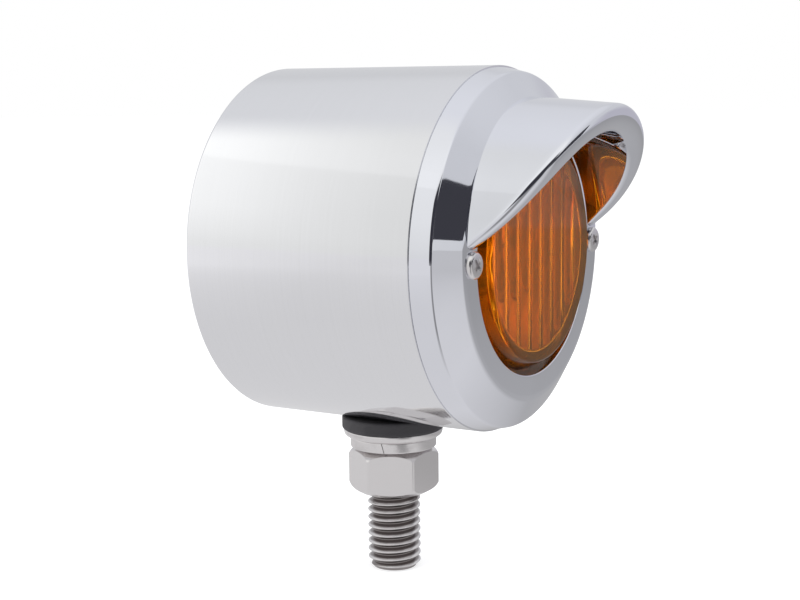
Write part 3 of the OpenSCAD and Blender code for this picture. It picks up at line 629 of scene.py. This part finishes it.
# %% [markdown]
# ## Turning a section
# Most pieces are round, so they are made as on a lathe: a flat section is drawn beside the axis and spun once
# round it. The section is a face through a few corners. A vertex bevel rounds each corner that has a radius,
# which keeps the corner list short. Only the edges of the section are spun, so the result is a closed skin.

# %% Section and spin


def lamp_point(r, f):
    """Point above the lamp axis, from a radius and a station in millimetres."""
    return Vector((0, -f, axis_z + r)) * MM


def stud_point(r, z):
    """Point beside the axis of the stud."""
    return Vector((r, 0, z)) * MM


LAMP_AXIS = (Vector((0, 0, axis_z)) * MM, Vector((0, 1, 0)))
STUD_AXIS = (Vector((0, 0, 0)), Vector((0, 0, 1)))


def section(corners, point=lamp_point, segments=6):
    """Edges of a flat section through corners of (radius, station, rounding radius)."""
    bm = bmesh.new()
    verts = [bm.verts.new(point(r, s)) for r, s, _ in corners]
    bm.faces.new(verts)
    count = len(corners)
    reaches = []
    for i, (r, s, rounding) in enumerate(corners):
        here = Vector((r, s))
        before = (Vector(corners[i - 1][:2]) - here).normalized()
        after = (Vector(corners[(i + 1) % count][:2]) - here).normalized()
        reaches.append(rounding / math.tan(before.angle(after) / 2))
    for vert, reach in zip(verts, reaches):
        if reach > 0:
            bmesh.ops.bevel(bm, geom=[vert], offset=reach * MM, offset_type="OFFSET", affect="VERTICES",
                            segments=segments, profile=0.5, material=-1)
    bmesh.ops.delete(bm, geom=bm.faces[:], context="FACES_ONLY")
    return bm


def refine(bm, longest):
    """Cut every edge longer than a length in millimetres into equal shorter ones."""
    for edge in bm.edges[:]:
        cuts = math.ceil(edge.calc_length() / (longest * MM)) - 1
        if cuts > 0:
            bmesh.ops.subdivide_edges(bm, edges=[edge], cuts=cuts)


def tidy(bm):
    """Merge doubles, then turn all faces outwards."""
    bmesh.ops.remove_doubles(bm, verts=bm.verts, dist=1e-7)
    bmesh.ops.recalc_face_normals(bm, faces=bm.faces)


def spin_round(bm, axis=LAMP_AXIS, steps=192):
    """Spin a section once round an axis and close its poles."""
    centre, direction = axis
    on_axis = [e for e in bm.edges if all((v.co - centre).cross(direction).length < 1e-8 for v in e.verts)]
    bmesh.ops.delete(bm, geom=on_axis, context="EDGES")
    bmesh.ops.spin(bm, geom=bm.verts[:] + bm.edges[:], cent=centre, axis=direction, angle=2 * math.pi,
                   steps=steps, use_merge=True)
    tidy(bm)
    return bm


def rotate(bm, angle, axis):
    """Turn a whole bmesh about an axis through the origin."""
    bmesh.ops.rotate(bm, verts=bm.verts, cent=(0, 0, 0), matrix=Matrix.Rotation(angle, 3, axis))


def pull_up(bm, length):
    """Pull faces up by a length in millimetres, which makes a block of them."""
    pulled = bmesh.ops.extrude_face_region(bm, geom=bm.faces[:])["geom"]
    bmesh.ops.translate(bm, verts=[g for g in pulled if isinstance(g, bmesh.types.BMVert)],
                        vec=(0, 0, length * MM))
    tidy(bm)


def close_ends(bm):
    """Fill the open ends of a shape that was spun."""
    bmesh.ops.holes_fill(bm, edges=[e for e in bm.edges if e.is_boundary])


def wind(bm, centre, axis, turns, steps, rise):
    """Spin the end of a wire round an axis, so many steps a turn, while it moves along by a rise."""
    bmesh.ops.spin(bm, geom=bm.verts[:] + bm.edges[:], cent=centre, axis=axis, angle=2 * math.pi * turns,
                   steps=turns * steps, dvec=Vector(axis) * (rise / (turns * steps)))
    close_ends(bm)
    tidy(bm)


print("lathe helpers ready")

# %% [markdown]
# Holes and joins use an exact boolean. It works on two scratch objects and gives back one new bmesh, so that
# no boolean is left on the piece. It leaves faces with many corners, some of them in line, which would turn
# into slivers later. So these faces are split into triangles, and whatever has no area is dissolved.
# A finished piece is smooth except at real edges, rides on a body, hides the node that it stands for, and
# takes its finish by the name of the record's slot.

# %% Boolean, and the making of a piece
sliver = 0.002 * MM


def without_slivers(bm):
    """Split crowded faces into triangles and dissolve those that have no area."""
    bmesh.ops.remove_doubles(bm, verts=bm.verts, dist=sliver)
    bmesh.ops.dissolve_degenerate(bm, edges=bm.edges, dist=sliver)
    crowded = [f for f in bm.faces if len(f.verts) > 4]
    bmesh.ops.triangulate(bm, faces=crowded, quad_method="BEAUTY", ngon_method="BEAUTY")
    bmesh.ops.dissolve_degenerate(bm, edges=bm.edges, dist=sliver)
    return bm


def combined(kept, tool, operation):
    """Boolean of two bmeshes; both are used up."""
    pair = [new_object(bm, "scratch") for bm in (kept, tool)]
    boolean = pair[0].modifiers.new("boolean", "BOOLEAN")
    boolean.operation = operation
    boolean.solver = "EXACT"
    boolean.object = pair[1]
    made = bmesh.new()
    made.from_object(pair[0], bpy.context.evaluated_depsgraph_get())
    for piece in pair:
        mesh = piece.data
        bpy.data.objects.remove(piece)
        bpy.data.meshes.remove(mesh)
    return without_slivers(made)


def rod(start, end, radius, segments=48):
    """A plain round cutter between two points in millimetres."""
    bm = bmesh.new()
    along = Vector(end) - Vector(start)
    bmesh.ops.create_cone(bm, cap_ends=True, segments=segments, radius1=radius, radius2=radius,
                          depth=along.length)
    turn = along.to_track_quat("Z", "Y").to_matrix()
    bmesh.ops.rotate(bm, verts=bm.verts, cent=(0, 0, 0), matrix=turn)
    bmesh.ops.translate(bm, verts=bm.verts, vec=(Vector(start) + Vector(end)) / 2)
    bmesh.ops.scale(bm, verts=bm.verts, vec=(MM, MM, MM))
    return bm


def absorb(bm, other):
    """Add a second bmesh to the first; the second is used up."""
    mesh = bpy.data.meshes.new("scratch")
    other.to_mesh(mesh)
    other.free()
    bm.from_mesh(mesh)
    bpy.data.meshes.remove(mesh)


def make_piece(bm, name, node, body, slot, crease=32):
    """Turn a bmesh into a finished piece that stands for a node."""
    piece = new_object(bm, name)
    mesh = piece.data
    mesh.shade_smooth()
    mesh.set_sharp_from_angle(angle=math.radians(crease))
    mesh.materials.append(finishes[slot])
    weigh = piece.modifiers.new("Even shading", "WEIGHTED_NORMAL")
    weigh.keep_sharp = True
    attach(piece, body)
    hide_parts(node)
    mesh.calc_loop_triangles()
    print(f"{name}: {len(mesh.vertices)} points, {len(mesh.loop_triangles)} triangles")
    return piece


print("piece helpers ready")

# %% [markdown]
# ## The can
# The can is drawn from one sheet: a round cup with a soft edge at the back and a plain rim at the front. It
# could be a cylinder with a bevel modifier, but a spun section gives its inside wall and rim in one go. Two
# holes are cut, one for the bolt and one for the grommet.

# %% Can
can_wall = 1.0
can_edge = 0.8
bolt_hole_r = 6.65
grommet_drop = 24.0
grommet_neck_r = 4.9

can_ri = can_r - can_wall
back_inner = can_back + can_wall
bm = section([
    (can_r, can_front, 0.12), (can_r, can_back, can_edge), (0, can_back, 0),
    (0, back_inner, 0), (can_ri, back_inner, 0.4), (can_ri, can_front, 0.1),
], segments=8)
refine(bm, 3)
bm = spin_round(bm, steps=256)
bm = combined(bm, rod((0, 0, 0), (0, 0, 8), bolt_hole_r), "DIFFERENCE")
grommet_z = axis_z - grommet_drop
drill = rod((0, -can_back - 3, grommet_z), (0, -can_back + 3, grommet_z), grommet_neck_r)
bm = combined(bm, drill, "DIFFERENCE")
make_piece(bm, "can", "housing", "head", "polished_steel")

# %% [markdown]
# ## The bezel and its visor
# The bezel is a ring: a spigot inside the can, a narrow band, a ridge, a slope and a flat face round the
# lens. The visor grows from the slope as part of a slim cone, whose axis lies above the lamp axis while its
# inside is centred on the lens, so it is thickest on top. Its lip runs along an arc as seen from the side,
# from the face beside each screw to the tip. A cone cut by a cylinder would do, but its lip would be sharp.
# So a section with a rounded lip is spun through the visor's angle, and then each of its points slides along
# the cone until the lip lies on the arc.

# %% Sizes of the bezel
band_r, ridge_r, ridge_f = can_r - 0.3, can_r - 1.4, can_front + 4.6
face_r, face_f = 33.2, can_front + 9.0
aperture_r = 27.9
bezel_wall = 2.2
seat_f = face_f - bezel_wall
slope = (face_f - ridge_f) / (ridge_r - face_r)
spigot_r, spigot_wall, spigot_back = can_ri - 0.15, 1.5, -bezel_high.y
screw_x = 30.0
screw_hole_r = 1.65

visor_rise = 2.0
visor_root_r = face_r - 0.6
visor_root_f = face_f - 0.9 * bezel_wall
visor_taper = 0.075
visor_wall = 4.3
visor_end_v = 3.3
visor_bulge = 3.3


def visor_radius(f):
    """Outside radius of the visor at a station."""
    return visor_root_r - visor_taper * (f - visor_root_f)


lip_from = Vector((face_f, visor_end_v))
lip_to = Vector((visor_tip, visor_rise + visor_radius(visor_tip)))
lip_chord = lip_to - lip_from
lip_r = lip_chord.length_squared / (8 * visor_bulge) + visor_bulge / 2
lip_out = Vector((lip_chord.y, -lip_chord.x)).normalized()
lip_centre = (lip_from + lip_to) / 2 + lip_out * (visor_bulge - lip_r)


def lip_station(v):
    """Station of the lip at a height above the lamp axis."""
    return lip_centre.x + math.sqrt(lip_r ** 2 - (v - lip_centre.y) ** 2)


print(f"visor lip: arc of {lip_r:.1f} mm, tip at {visor_tip:.1f} mm")

# %% Bezel ring
bm = section([
    (spigot_r, spigot_back, 0.3), (spigot_r, can_front, 0), (band_r, can_front, 0.12),
    (ridge_r, ridge_f, 1.1), (face_r, face_f, 3), (aperture_r, face_f, 0.3),
    (aperture_r, seat_f, 0),
    (face_r, seat_f, 0), (spigot_r - spigot_wall, seat_f - (spigot_r - spigot_wall - face_r) * slope, 0),
    (spigot_r - spigot_wall, spigot_back, 0.3),
], segments=8)
refine(bm, 0.8)
ring = spin_round(bm, steps=288)
print(len(ring.faces), "faces in the ring")

# %% Visor
visor_half = math.radians(89.5)
lip_round, lip_round_in = 2.5, 1.7
lip_keep = 2.7
lip_least, lip_share = 0.3, 0.6
lip_rounds = 12
VISOR_AXIS = (Vector((0, 0, axis_z + visor_rise)) * MM, Vector((0, 1, 0)))


def visor_point(r, f):
    """Point of the visor's section, which starts at one end of its sweep."""
    start = Vector((0, -f, r)) * MM
    start.rotate(Matrix.Rotation(-visor_half, 3, "Y"))
    return start + VISOR_AXIS[0]


bm = section([
    (visor_radius(visor_root_f), visor_root_f, 0), (visor_radius(visor_tip), visor_tip, lip_round),
    (visor_radius(visor_tip) - visor_wall, visor_tip, lip_round_in),
    (visor_radius(visor_root_f) - visor_wall, visor_root_f, 0),
], visor_point, segments=12)
refine(bm, 1.2)
bmesh.ops.spin(bm, geom=bm.verts[:] + bm.edges[:], cent=VISOR_AXIS[0], axis=VISOR_AXIS[1],
               angle=2 * visor_half, steps=176)
close_ends(bm)
tidy(bm)
for vert in bm.verts:
    place = (vert.co - VISOR_AXIS[0]) / MM
    angle = math.atan2(place.x, place.z)
    radius, station = math.hypot(place.x, place.z), -place.y
    depth = (visor_radius(station) - radius) * (visor_wall + visor_rise * math.cos(angle)) / visor_wall
    # The station of the lip depends on the height there, and the other way round, so it is found in rounds.
    lip = visor_tip
    for _ in range(lip_rounds):
        lip = lip_station(visor_rise + (visor_radius(lip) - depth) * math.cos(angle))
    lip = max(lip, visor_root_f + lip_least)
    keep = min(lip_keep, (lip - visor_root_f) * lip_share)
    if visor_tip - station < lip_keep:
        station = lip - (visor_tip - station) * keep / lip_keep
    else:
        share = (station - visor_root_f) / (visor_tip - lip_keep - visor_root_f)
        station = visor_root_f + (lip - keep - visor_root_f) * share
    radius = visor_radius(station) - depth
    vert.co = Vector((radius * math.sin(angle), -station, radius * math.cos(angle))) * MM + VISOR_AXIS[0]
print(len(bm.faces), "faces in the visor")

# %% Join the visor to the ring and drill the screw holes
bm = combined(ring, bm, "UNION")
for side in (-1, 1):
    x = side * screw_x
    drill = rod((x, -seat_f + 1, axis_z), (x, -face_f - 1, axis_z), screw_hole_r)
    bm = combined(bm, drill, "DIFFERENCE")
make_piece(bm, "bezel_with_visor", "bezel_visor", "head", "chrome")

# %% [markdown]
# ## The lens
# The lens is a shallow amber cup held by a flange behind the bezel. Eight upright flutes on the inside of its
# front plate spread the light. Each flute is an arc, spun from one point, so the bank of flutes is a row of
# arcs that is closed by a line, filled, pulled upwards, trimmed to a circle and joined to the cup.

# %% Lens cup
lens_rim_r, lens_wall_r, lens_wall = 24.7, 26.9, 2.2
lens_flange_r, lens_flange = 32.9, 2.0
lens_plate = 2.4

plate_inner = lens_front - lens_plate
gasket_front = seat_f - lens_flange
bm = section([
    (0, lens_front, 0), (lens_rim_r, lens_front, 1.0), (lens_wall_r, seat_f, 0.15),
    (lens_flange_r, seat_f, 0), (lens_flange_r, gasket_front, 0),
    (lens_wall_r - lens_wall, gasket_front, 0.2), (lens_rim_r - lens_wall, plate_inner, 0.4),
    (0, plate_inner, 0),
])
refine(bm, 4)
cup = spin_round(bm)
print(len(cup.faces), "faces in the cup")

# %% Flutes, and the whole lens
flute_pitch, flute_land, flute_height, flute_zone_r = 5.6, 0.3, 0.9, 22.1
flutes_each_side = 4
half = (flute_pitch - flute_land) / 2
flute_r = (half ** 2 + flute_height ** 2) / (2 * flute_height)
flute_angle = math.asin(half / flute_r)
proud = 0.05
bank = bmesh.new()
ends = []
for i in range(-flutes_each_side, flutes_each_side):
    middle = Vector(((i + 0.5) * flute_pitch, -(plate_inner - proud - flute_height + flute_r), 0))
    first = bank.verts.new((middle + Vector((-half, flute_r * math.cos(flute_angle), 0))) * MM)
    swept = bmesh.ops.spin(bank, geom=[first], cent=middle * MM, axis=(0, 0, -1), angle=2 * flute_angle,
                           steps=20)
    last = next(g for g in swept["geom_last"] if isinstance(g, bmesh.types.BMVert))
    ends.append((first, last))
for (_, left), (right, _) in zip(ends, ends[1:]):
    bank.edges.new((left, right))
into_plate = Vector((0, -0.6, 0)) * MM
corners = [bank.verts.new(v.co + into_plate) for v in (ends[-1][1], ends[0][0])]
bank.edges.new((ends[-1][1], corners[0]))
bank.edges.new((corners[0], corners[1]))
bank.edges.new((corners[1], ends[0][0]))
bmesh.ops.remove_doubles(bank, verts=bank.verts, dist=1e-8)
bmesh.ops.edgeloop_fill(bank, edges=bank.edges)
bmesh.ops.translate(bank, verts=bank.verts, vec=(0, 0, (axis_z - flute_zone_r - 1) * MM))
pull_up(bank, 2 * (flute_zone_r + 1))
trim = rod((0, -plate_inner + 4, axis_z), (0, -plate_inner - 4, axis_z), flute_zone_r, 192)
bank = combined(bank, trim, "INTERSECT")
bm = combined(cup, bank, "UNION")
for side in (-1, 1):
    x = side * screw_x
    drill = rod((x, -gasket_front + 1, axis_z), (x, -seat_f - 1, axis_z), screw_hole_r)
    bm = combined(bm, drill, "DIFFERENCE")
make_piece(bm, "amber_lens", "lens", "head", "amber", crease=28)

# %% [markdown]
# ## The lens screws
# Two pan-head screws hold the bezel and the lens. The head is turned with one broad rounding, and a cross
# recess is sunk in it: two narrow blocks, each tapered towards its bottom, are subtracted at right angles.

# %% Lens screws
head_r, head_h, screw_r, screw_len = 3.0, 1.2, 1.5, 13.0
recess_l, recess_w, recess_depth = 3.5, 0.9, 0.8
recess_at_top, recess_at_bottom = 1.12, 0.62
pair = bmesh.new()
for side in (-1, 1):
    bm = section([
        (0, face_f - screw_len, 0), (screw_r, face_f - screw_len, 0.4), (screw_r, face_f, 0),
        (head_r, face_f, 0.12), (head_r, face_f + head_h, 0.9), (0, face_f + head_h, 0),
    ])
    bm = spin_round(bm, steps=64)
    for turn in (45, 135):
        slot = bmesh.new()
        bmesh.ops.create_cube(slot, size=1)
        for vert in slot.verts:
            x, y, z = vert.co
            taper = recess_at_bottom if y > 0 else recess_at_top
            vert.co = Vector((x * recess_l * taper, y * 2 * recess_depth, z * recess_w))
        rotate(slot, math.radians(turn), "Y")
        bmesh.ops.translate(slot, verts=slot.verts, vec=(0, -(face_f + head_h), axis_z))
        bmesh.ops.scale(slot, verts=slot.verts, vec=(MM, MM, MM))
        bm = combined(bm, slot, "DIFFERENCE")
    bmesh.ops.translate(bm, verts=bm.verts, vec=(side * screw_x * MM, 0, 0))
    absorb(pair, bm)
make_piece(pair, "lens_screw_pair", "lens_screws", "head", "bright_steel")

# %% [markdown]
# ## Rubber washer
# The rubber washer is flat below and pressed into a saddle by the can above. It is turned as a soft-edged
# ring with a fine mesh on top, and every point that would be inside the can is moved down onto it.

# %% Rubber washer
rubber_r, rubber_t, can_gap = 12.3, 3.1, 0.02
bm = section([
    (bolt_hole_r, 0, 0.2), (rubber_r, 0, 0.45), (rubber_r, rubber_t, 0.5), (bolt_hole_r, rubber_t, 0.2),
], stud_point, segments=5)
refine(bm, 0.5)
bm = spin_round(bm, STUD_AXIS, 144)
for vert in bm.verts:
    x = vert.co.x / MM
    under_can = axis_z - math.sqrt((can_r + can_gap) ** 2 - x ** 2)
    vert.co.z = min(vert.co.z, under_can * MM)
make_piece(bm, "rubber_pad", "rubber_washer", "head", "rubber")

# %% [markdown]
# ## Washers
# The flat washer is stamped: one edge comes out rounder than the other. The lock washer is a ring of square
# wire with a gap. Its section is spun not quite all the way round, its two ends are filled, and a twist about
# the stud that grows with height makes the cut slanting.

# %% Flat washer
flat_r, flat_t = 11.9, 1.9
bm = section([
    (bolt_hole_r, -flat_t, 0.15), (flat_r, -flat_t, 1.3), (flat_r, 0, 0.3), (bolt_hole_r, 0, 0.3),
], stud_point)
refine(bm, 1.5)
bm = spin_round(bm, STUD_AXIS, 144)
make_piece(bm, "stamped_washer", "flat_washer", "washers", "bright_steel")

# %% Lock washer
lock_r, lock_t, lock_gap = 10.35, 2.6, 0.16
lock_angle, lock_lean = math.radians(197), math.radians(15)
lock_top, lock_bottom = -flat_t, -flat_t - lock_t
bm = section([
    (bolt_hole_r, lock_bottom, 0.2), (lock_r, lock_bottom, 0.35), (lock_r, lock_top, 0.35),
    (bolt_hole_r, lock_top, 0.2),
], stud_point, segments=5)
open_angle = lock_gap / lock_r
rotate(bm, lock_angle + open_angle / 2, "Z")
bmesh.ops.spin(bm, geom=bm.verts[:] + bm.edges[:], cent=(0, 0, 0), axis=(0, 0, 1),
               angle=2 * math.pi - open_angle, steps=120)
close_ends(bm)
for vert in bm.verts:
    above = vert.co.z / MM - (lock_top + lock_bottom) / 2
    vert.co.rotate(Matrix.Rotation(-above * math.tan(lock_lean) / lock_r, 3, "Z"))
tidy(bm)
make_piece(bm, "split_washer", "lock_washer", "washers", "bright_steel")

# %% [markdown]
# ## Nut and bolt
# A hexagon nut is cut from bar and its corners are turned off at 30 degrees. So a hexagon with rounded
# corners is pulled up to a block and intersected with a turned shape, which gives the curved edges on its
# flats. The same block makes the head of the bolt inside the can.

# %% Hexagon block
hex_af = 19.05
hex_corner = hex_af / 2 / math.cos(math.radians(30))
hex_face = 8.2


def hexagon(bottom, top, turn, corner_r=0.7, rim_r=0.6, shoulder_r=2.2):
    """Hexagon block with rounded uprights and with its corners turned off at both ends."""
    block = bmesh.new()
    bmesh.ops.create_circle(block, cap_ends=True, segments=6, radius=hex_corner * MM)
    bmesh.ops.bevel(block, geom=block.verts[:], offset=corner_r * math.tan(math.radians(30)) * MM,
                    offset_type="OFFSET", affect="VERTICES", segments=5, profile=0.5, material=-1)
    rotate(block, math.radians(30) + turn, "Z")
    bmesh.ops.translate(block, verts=block.verts, vec=(0, 0, bottom * MM))
    pull_up(block, top - bottom)
    turned_r = hex_corner + 0.05
    drop = (turned_r - hex_face) * math.tan(math.radians(30))
    turned = section([
        (0, bottom, 0), (hex_face, bottom, rim_r), (turned_r, bottom + drop, shoulder_r),
        (turned_r, top - drop, shoulder_r), (hex_face, top, rim_r), (0, top, 0),
    ], stud_point)
    turned = spin_round(turned, STUD_AXIS, 192)
    return combined(block, turned, "INTERSECT")


print(f"hexagon {hex_af} mm across its flats, {2 * hex_corner:.1f} mm across its corners")

# %% Nut
nut_h, nut_bore_r, nut_chamfer, beyond = 11.1, 6.4, 0.75, 1
nut_turn = math.radians(-3.5)
nut_top, nut_bottom = lock_bottom, lock_bottom - nut_h
bore_end_r = nut_bore_r + (nut_chamfer + beyond)
bm = hexagon(nut_bottom, nut_top, nut_turn)
bore = section([
    (0, nut_bottom - beyond, 0), (bore_end_r, nut_bottom - beyond, 0),
    (nut_bore_r, nut_bottom + nut_chamfer, 0.2), (nut_bore_r, nut_top - nut_chamfer, 0.2),
    (bore_end_r, nut_top + beyond, 0), (0, nut_top + beyond, 0),
], stud_point)
bm = combined(bm, spin_round(bore, STUD_AXIS, 96), "DIFFERENCE")
make_piece(bm, "hexagon_nut", "hex_nut", "nut", "bright_steel", crease=24)

# %% [markdown]
# The thread is one pitch of its outline, spun round the stud many times while it moves down by one pitch for
# each turn. Two planes cut off its ends, and the last crests are drawn in to a chamfer. The plain shank and
# the head are joined on.

# %% Stud bolt
thread_r, pitch = 6.35, 25.4 / 13
root_r = thread_r - 0.6 * pitch
thread_start = 2.6
chamfer = 1.3
turn_steps = 64
turns = math.ceil((thread_start - stud_end) / pitch) + 2
outline = [(thread_r, 0), (thread_r, 0.1), (thread_r - 0.06, 0.14), (root_r + 0.1, 0.46), (root_r, 0.5),
           (root_r, 0.6), (root_r + 0.1, 0.64), (thread_r - 0.06, 0.96), (thread_r, 1.0)]
bm = bmesh.new()
points = [bm.verts.new(stud_point(r, thread_start + pitch - share * pitch)) for r, share in outline]
for upper, lower in zip(points, points[1:]):
    bm.edges.new((upper, lower))
bmesh.ops.spin(bm, geom=bm.verts[:] + bm.edges[:], cent=(0, 0, 0), axis=(0, 0, -1),
               angle=2 * math.pi * turns, steps=turn_steps * turns, dvec=(0, 0, -pitch * MM / turn_steps))
bmesh.ops.remove_doubles(bm, verts=bm.verts, dist=1e-6)
for height, outside in ((thread_start, 1), (stud_end, -1)):
    bmesh.ops.bisect_plane(bm, geom=bm.verts[:] + bm.edges[:] + bm.faces[:], dist=1e-8,
                           plane_co=(0, 0, height * MM), plane_no=(0, 0, outside), clear_outer=True)
bmesh.ops.bisect_plane(bm, geom=bm.verts[:] + bm.edges[:] + bm.faces[:], dist=1e-8,
                       plane_co=(0, 0, (stud_end + chamfer) * MM), plane_no=(0, 0, 1))
close_ends(bm)
for vert in bm.verts:
    radius = math.hypot(vert.co.x, vert.co.y) / MM
    limit = root_r + (thread_r - root_r) * min(1, max(0, (vert.co.z / MM - stud_end) / chamfer))
    if radius > limit:
        bmesh.ops.scale(bm, verts=[vert], vec=(limit / radius, limit / radius, 1))
tidy(bm)
saddle_top = 6.8
shank_r, shank_low, shank_high = 5.95, 2.2, saddle_top + 0.5
shank = section([
    (0, shank_low, 0), (shank_r, shank_low, 0.2), (shank_r, shank_high, 0), (0, shank_high, 0),
], stud_point)
bm = combined(bm, spin_round(shank, STUD_AXIS, 64), "UNION")
bm = combined(bm, hexagon(saddle_top, stud_high.z, 0), "UNION")
make_piece(bm, "threaded_bolt", "stud_bolt", "stud_mount", "bright_steel", crease=30)

# %% [markdown]
# ## Grommet
# A grommet is a turned rubber ring with a groove that holds the edge of the hole in the can's back wall.

# %% Grommet
grommet_bore_r, grommet_flange_r, grommet_flange = 3.1, 6.8, 1.4
GROMMET_AXIS = (Vector((0, 0, grommet_z)) * MM, Vector((0, 1, 0)))


def grommet_point(r, f):
    """Point above the axis of the grommet."""
    return Vector((0, -f, grommet_z + r)) * MM


outer, inner = can_back - grommet_flange, back_inner + grommet_flange
bm = section([
    (grommet_bore_r, outer, 0.5), (grommet_flange_r, outer, 0.7), (grommet_flange_r, can_back, 0.15),
    (grommet_neck_r, can_back, 0), (grommet_neck_r, back_inner, 0), (grommet_flange_r, back_inner, 0.15),
    (grommet_flange_r, inner, 0.7), (grommet_bore_r, inner, 0.4),
], grommet_point)
bm = spin_round(bm, GROMMET_AXIS, 96)
make_piece(bm, "lead_grommet", "rear_grommet", "head", "rubber")

# %% [markdown]
# ## Reflector
# The reflector is a spun bowl with a flat land round the socket and a flange under the lens gasket. Its bowl
# follows a parabola, so its section has a few points worked out from that curve.

# %% Reflector
mouth_r, land_r, land_front, bowl_bore = 25.5, 12.5, -0.2, 8.5
sheet, sheet_slant = 0.8, 0.57
reflector_front = 32.6
reflector_flange_r = 33.6
bowl_width, bowl_depth = mouth_r - land_r, reflector_front - land_front
steps = 14
bowl = [(land_r + bowl_width * i / steps, land_front + bowl_depth * (i / steps) ** 2)
        for i in range(steps + 1)]
inside = [(bowl_bore, land_front, 0)] + [(r, f, 0) for r, f in bowl[:-1]]
inside += [(mouth_r, reflector_front, 0.3), (reflector_flange_r, reflector_front, 0)]
outside = [(reflector_flange_r, reflector_front - sheet, 0), (mouth_r + 0.7, reflector_front - sheet, 0)]
outside += [(r + sheet_slant, f - sheet_slant, 0) for r, f in reversed(bowl[:-2])]
outside += [(bowl_bore, land_front - sheet, 0)]
bm = spin_round(section(inside + outside), steps=160)
make_piece(bm, "reflector_bowl", "reflector", "head", "reflector_metal", crease=40)

# %% [markdown]
# ## Bulb glass and filament
# The bulb is blown: a neck, a soft shoulder and a round end, with a thin wall. The filament is a fine coil
# of wire, spun like the thread, from one small circle that moves along as it turns.

# %% Bulb glass
base_front, glass_r, glass_top, neck_r, glass_wall = 1.0, 12.9, 31.4, 7.1, 0.7
glass_middle = glass_top - glass_r
envelope = []
for wall in (0, glass_wall):
    ball_r = glass_r - wall
    side = [(0, base_front + wall, 0), (neck_r - wall, base_front + wall, 0.3),
            (neck_r - wall, base_front + 4, 3), (ball_r, glass_middle, 0)]
    for degrees in range(9, 91, 9):
        angle = math.radians(degrees)
        side.append((ball_r * math.cos(angle), glass_middle + ball_r * math.sin(angle), 0))
    envelope.append(side)
bm = section(envelope[0], segments=8)
bm = spin_round(bm, steps=128)
lining = spin_round(section(envelope[1], segments=8), steps=128)
bmesh.ops.reverse_faces(lining, faces=lining.faces)
absorb(bm, lining)
make_piece(bm, "bulb_envelope", "bulb_glass", "bulb", "clear_glass", crease=60)

# %% Filament
filament_f, filament_len, coil_r, wire_r, coils = 16.65, 8.0, 0.3, 0.07, 16
bm = bmesh.new()
bmesh.ops.create_circle(bm, segments=8, radius=wire_r * MM)
rotate(bm, math.radians(90), "Y")
rotate(bm, math.radians(90), "Z")
start = Vector((-filament_len / 2 + wire_r, -filament_f, axis_z + coil_r)) * MM
bmesh.ops.translate(bm, verts=bm.verts, vec=start)
middle = Vector((0, -filament_f, axis_z)) * MM
wind(bm, middle, (1, 0, 0), coils, 18, (filament_len - 2 * wire_r) * MM)
make_piece(bm, "filament_coil", "filament", "bulb", "tungsten", crease=60)

# %% [markdown]
# ## Contact spring
# The spring behind the contact plunger is three open turns of wire, spun like the filament. When the bulb is
# pushed in, the spring shortens towards its back end.

# %% Contact spring
spring_r, spring_wire, spring_back, spring_front = 5.2, 0.35, -25.2, -20.4
travel, end_gap = 2.2, 0.05
rise = spring_front - spring_back - 2 * spring_wire - 2 * end_gap
spring_turns = 3
bm = bmesh.new()
bmesh.ops.create_circle(bm, segments=12, radius=spring_wire * MM)
start = Vector((spring_r, -(spring_back + spring_wire + end_gap), axis_z)) * MM
bmesh.ops.translate(bm, verts=bm.verts, vec=start)
wind(bm, LAMP_AXIS[0], (0, -1, 0), spring_turns, 40, rise * MM)
spring = make_piece(bm, "wound_spring", "contact_spring", "head", "plated_steel", crease=60)
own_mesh(spring)

# %% [markdown]
# ## Finishes for the pieces that stay as packed
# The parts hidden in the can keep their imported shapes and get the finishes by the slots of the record.

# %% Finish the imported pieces
slots = {row["node"]: row["material_slot"] for row in frame["record"]["subparts"]}
dressed = 0
for node, thing in frame["nodes"].items():
    for holder in thing.material_slots:
        holder.material = finishes[slots[node]]
    dressed += 1
print(dressed, "packed nodes have a finish")
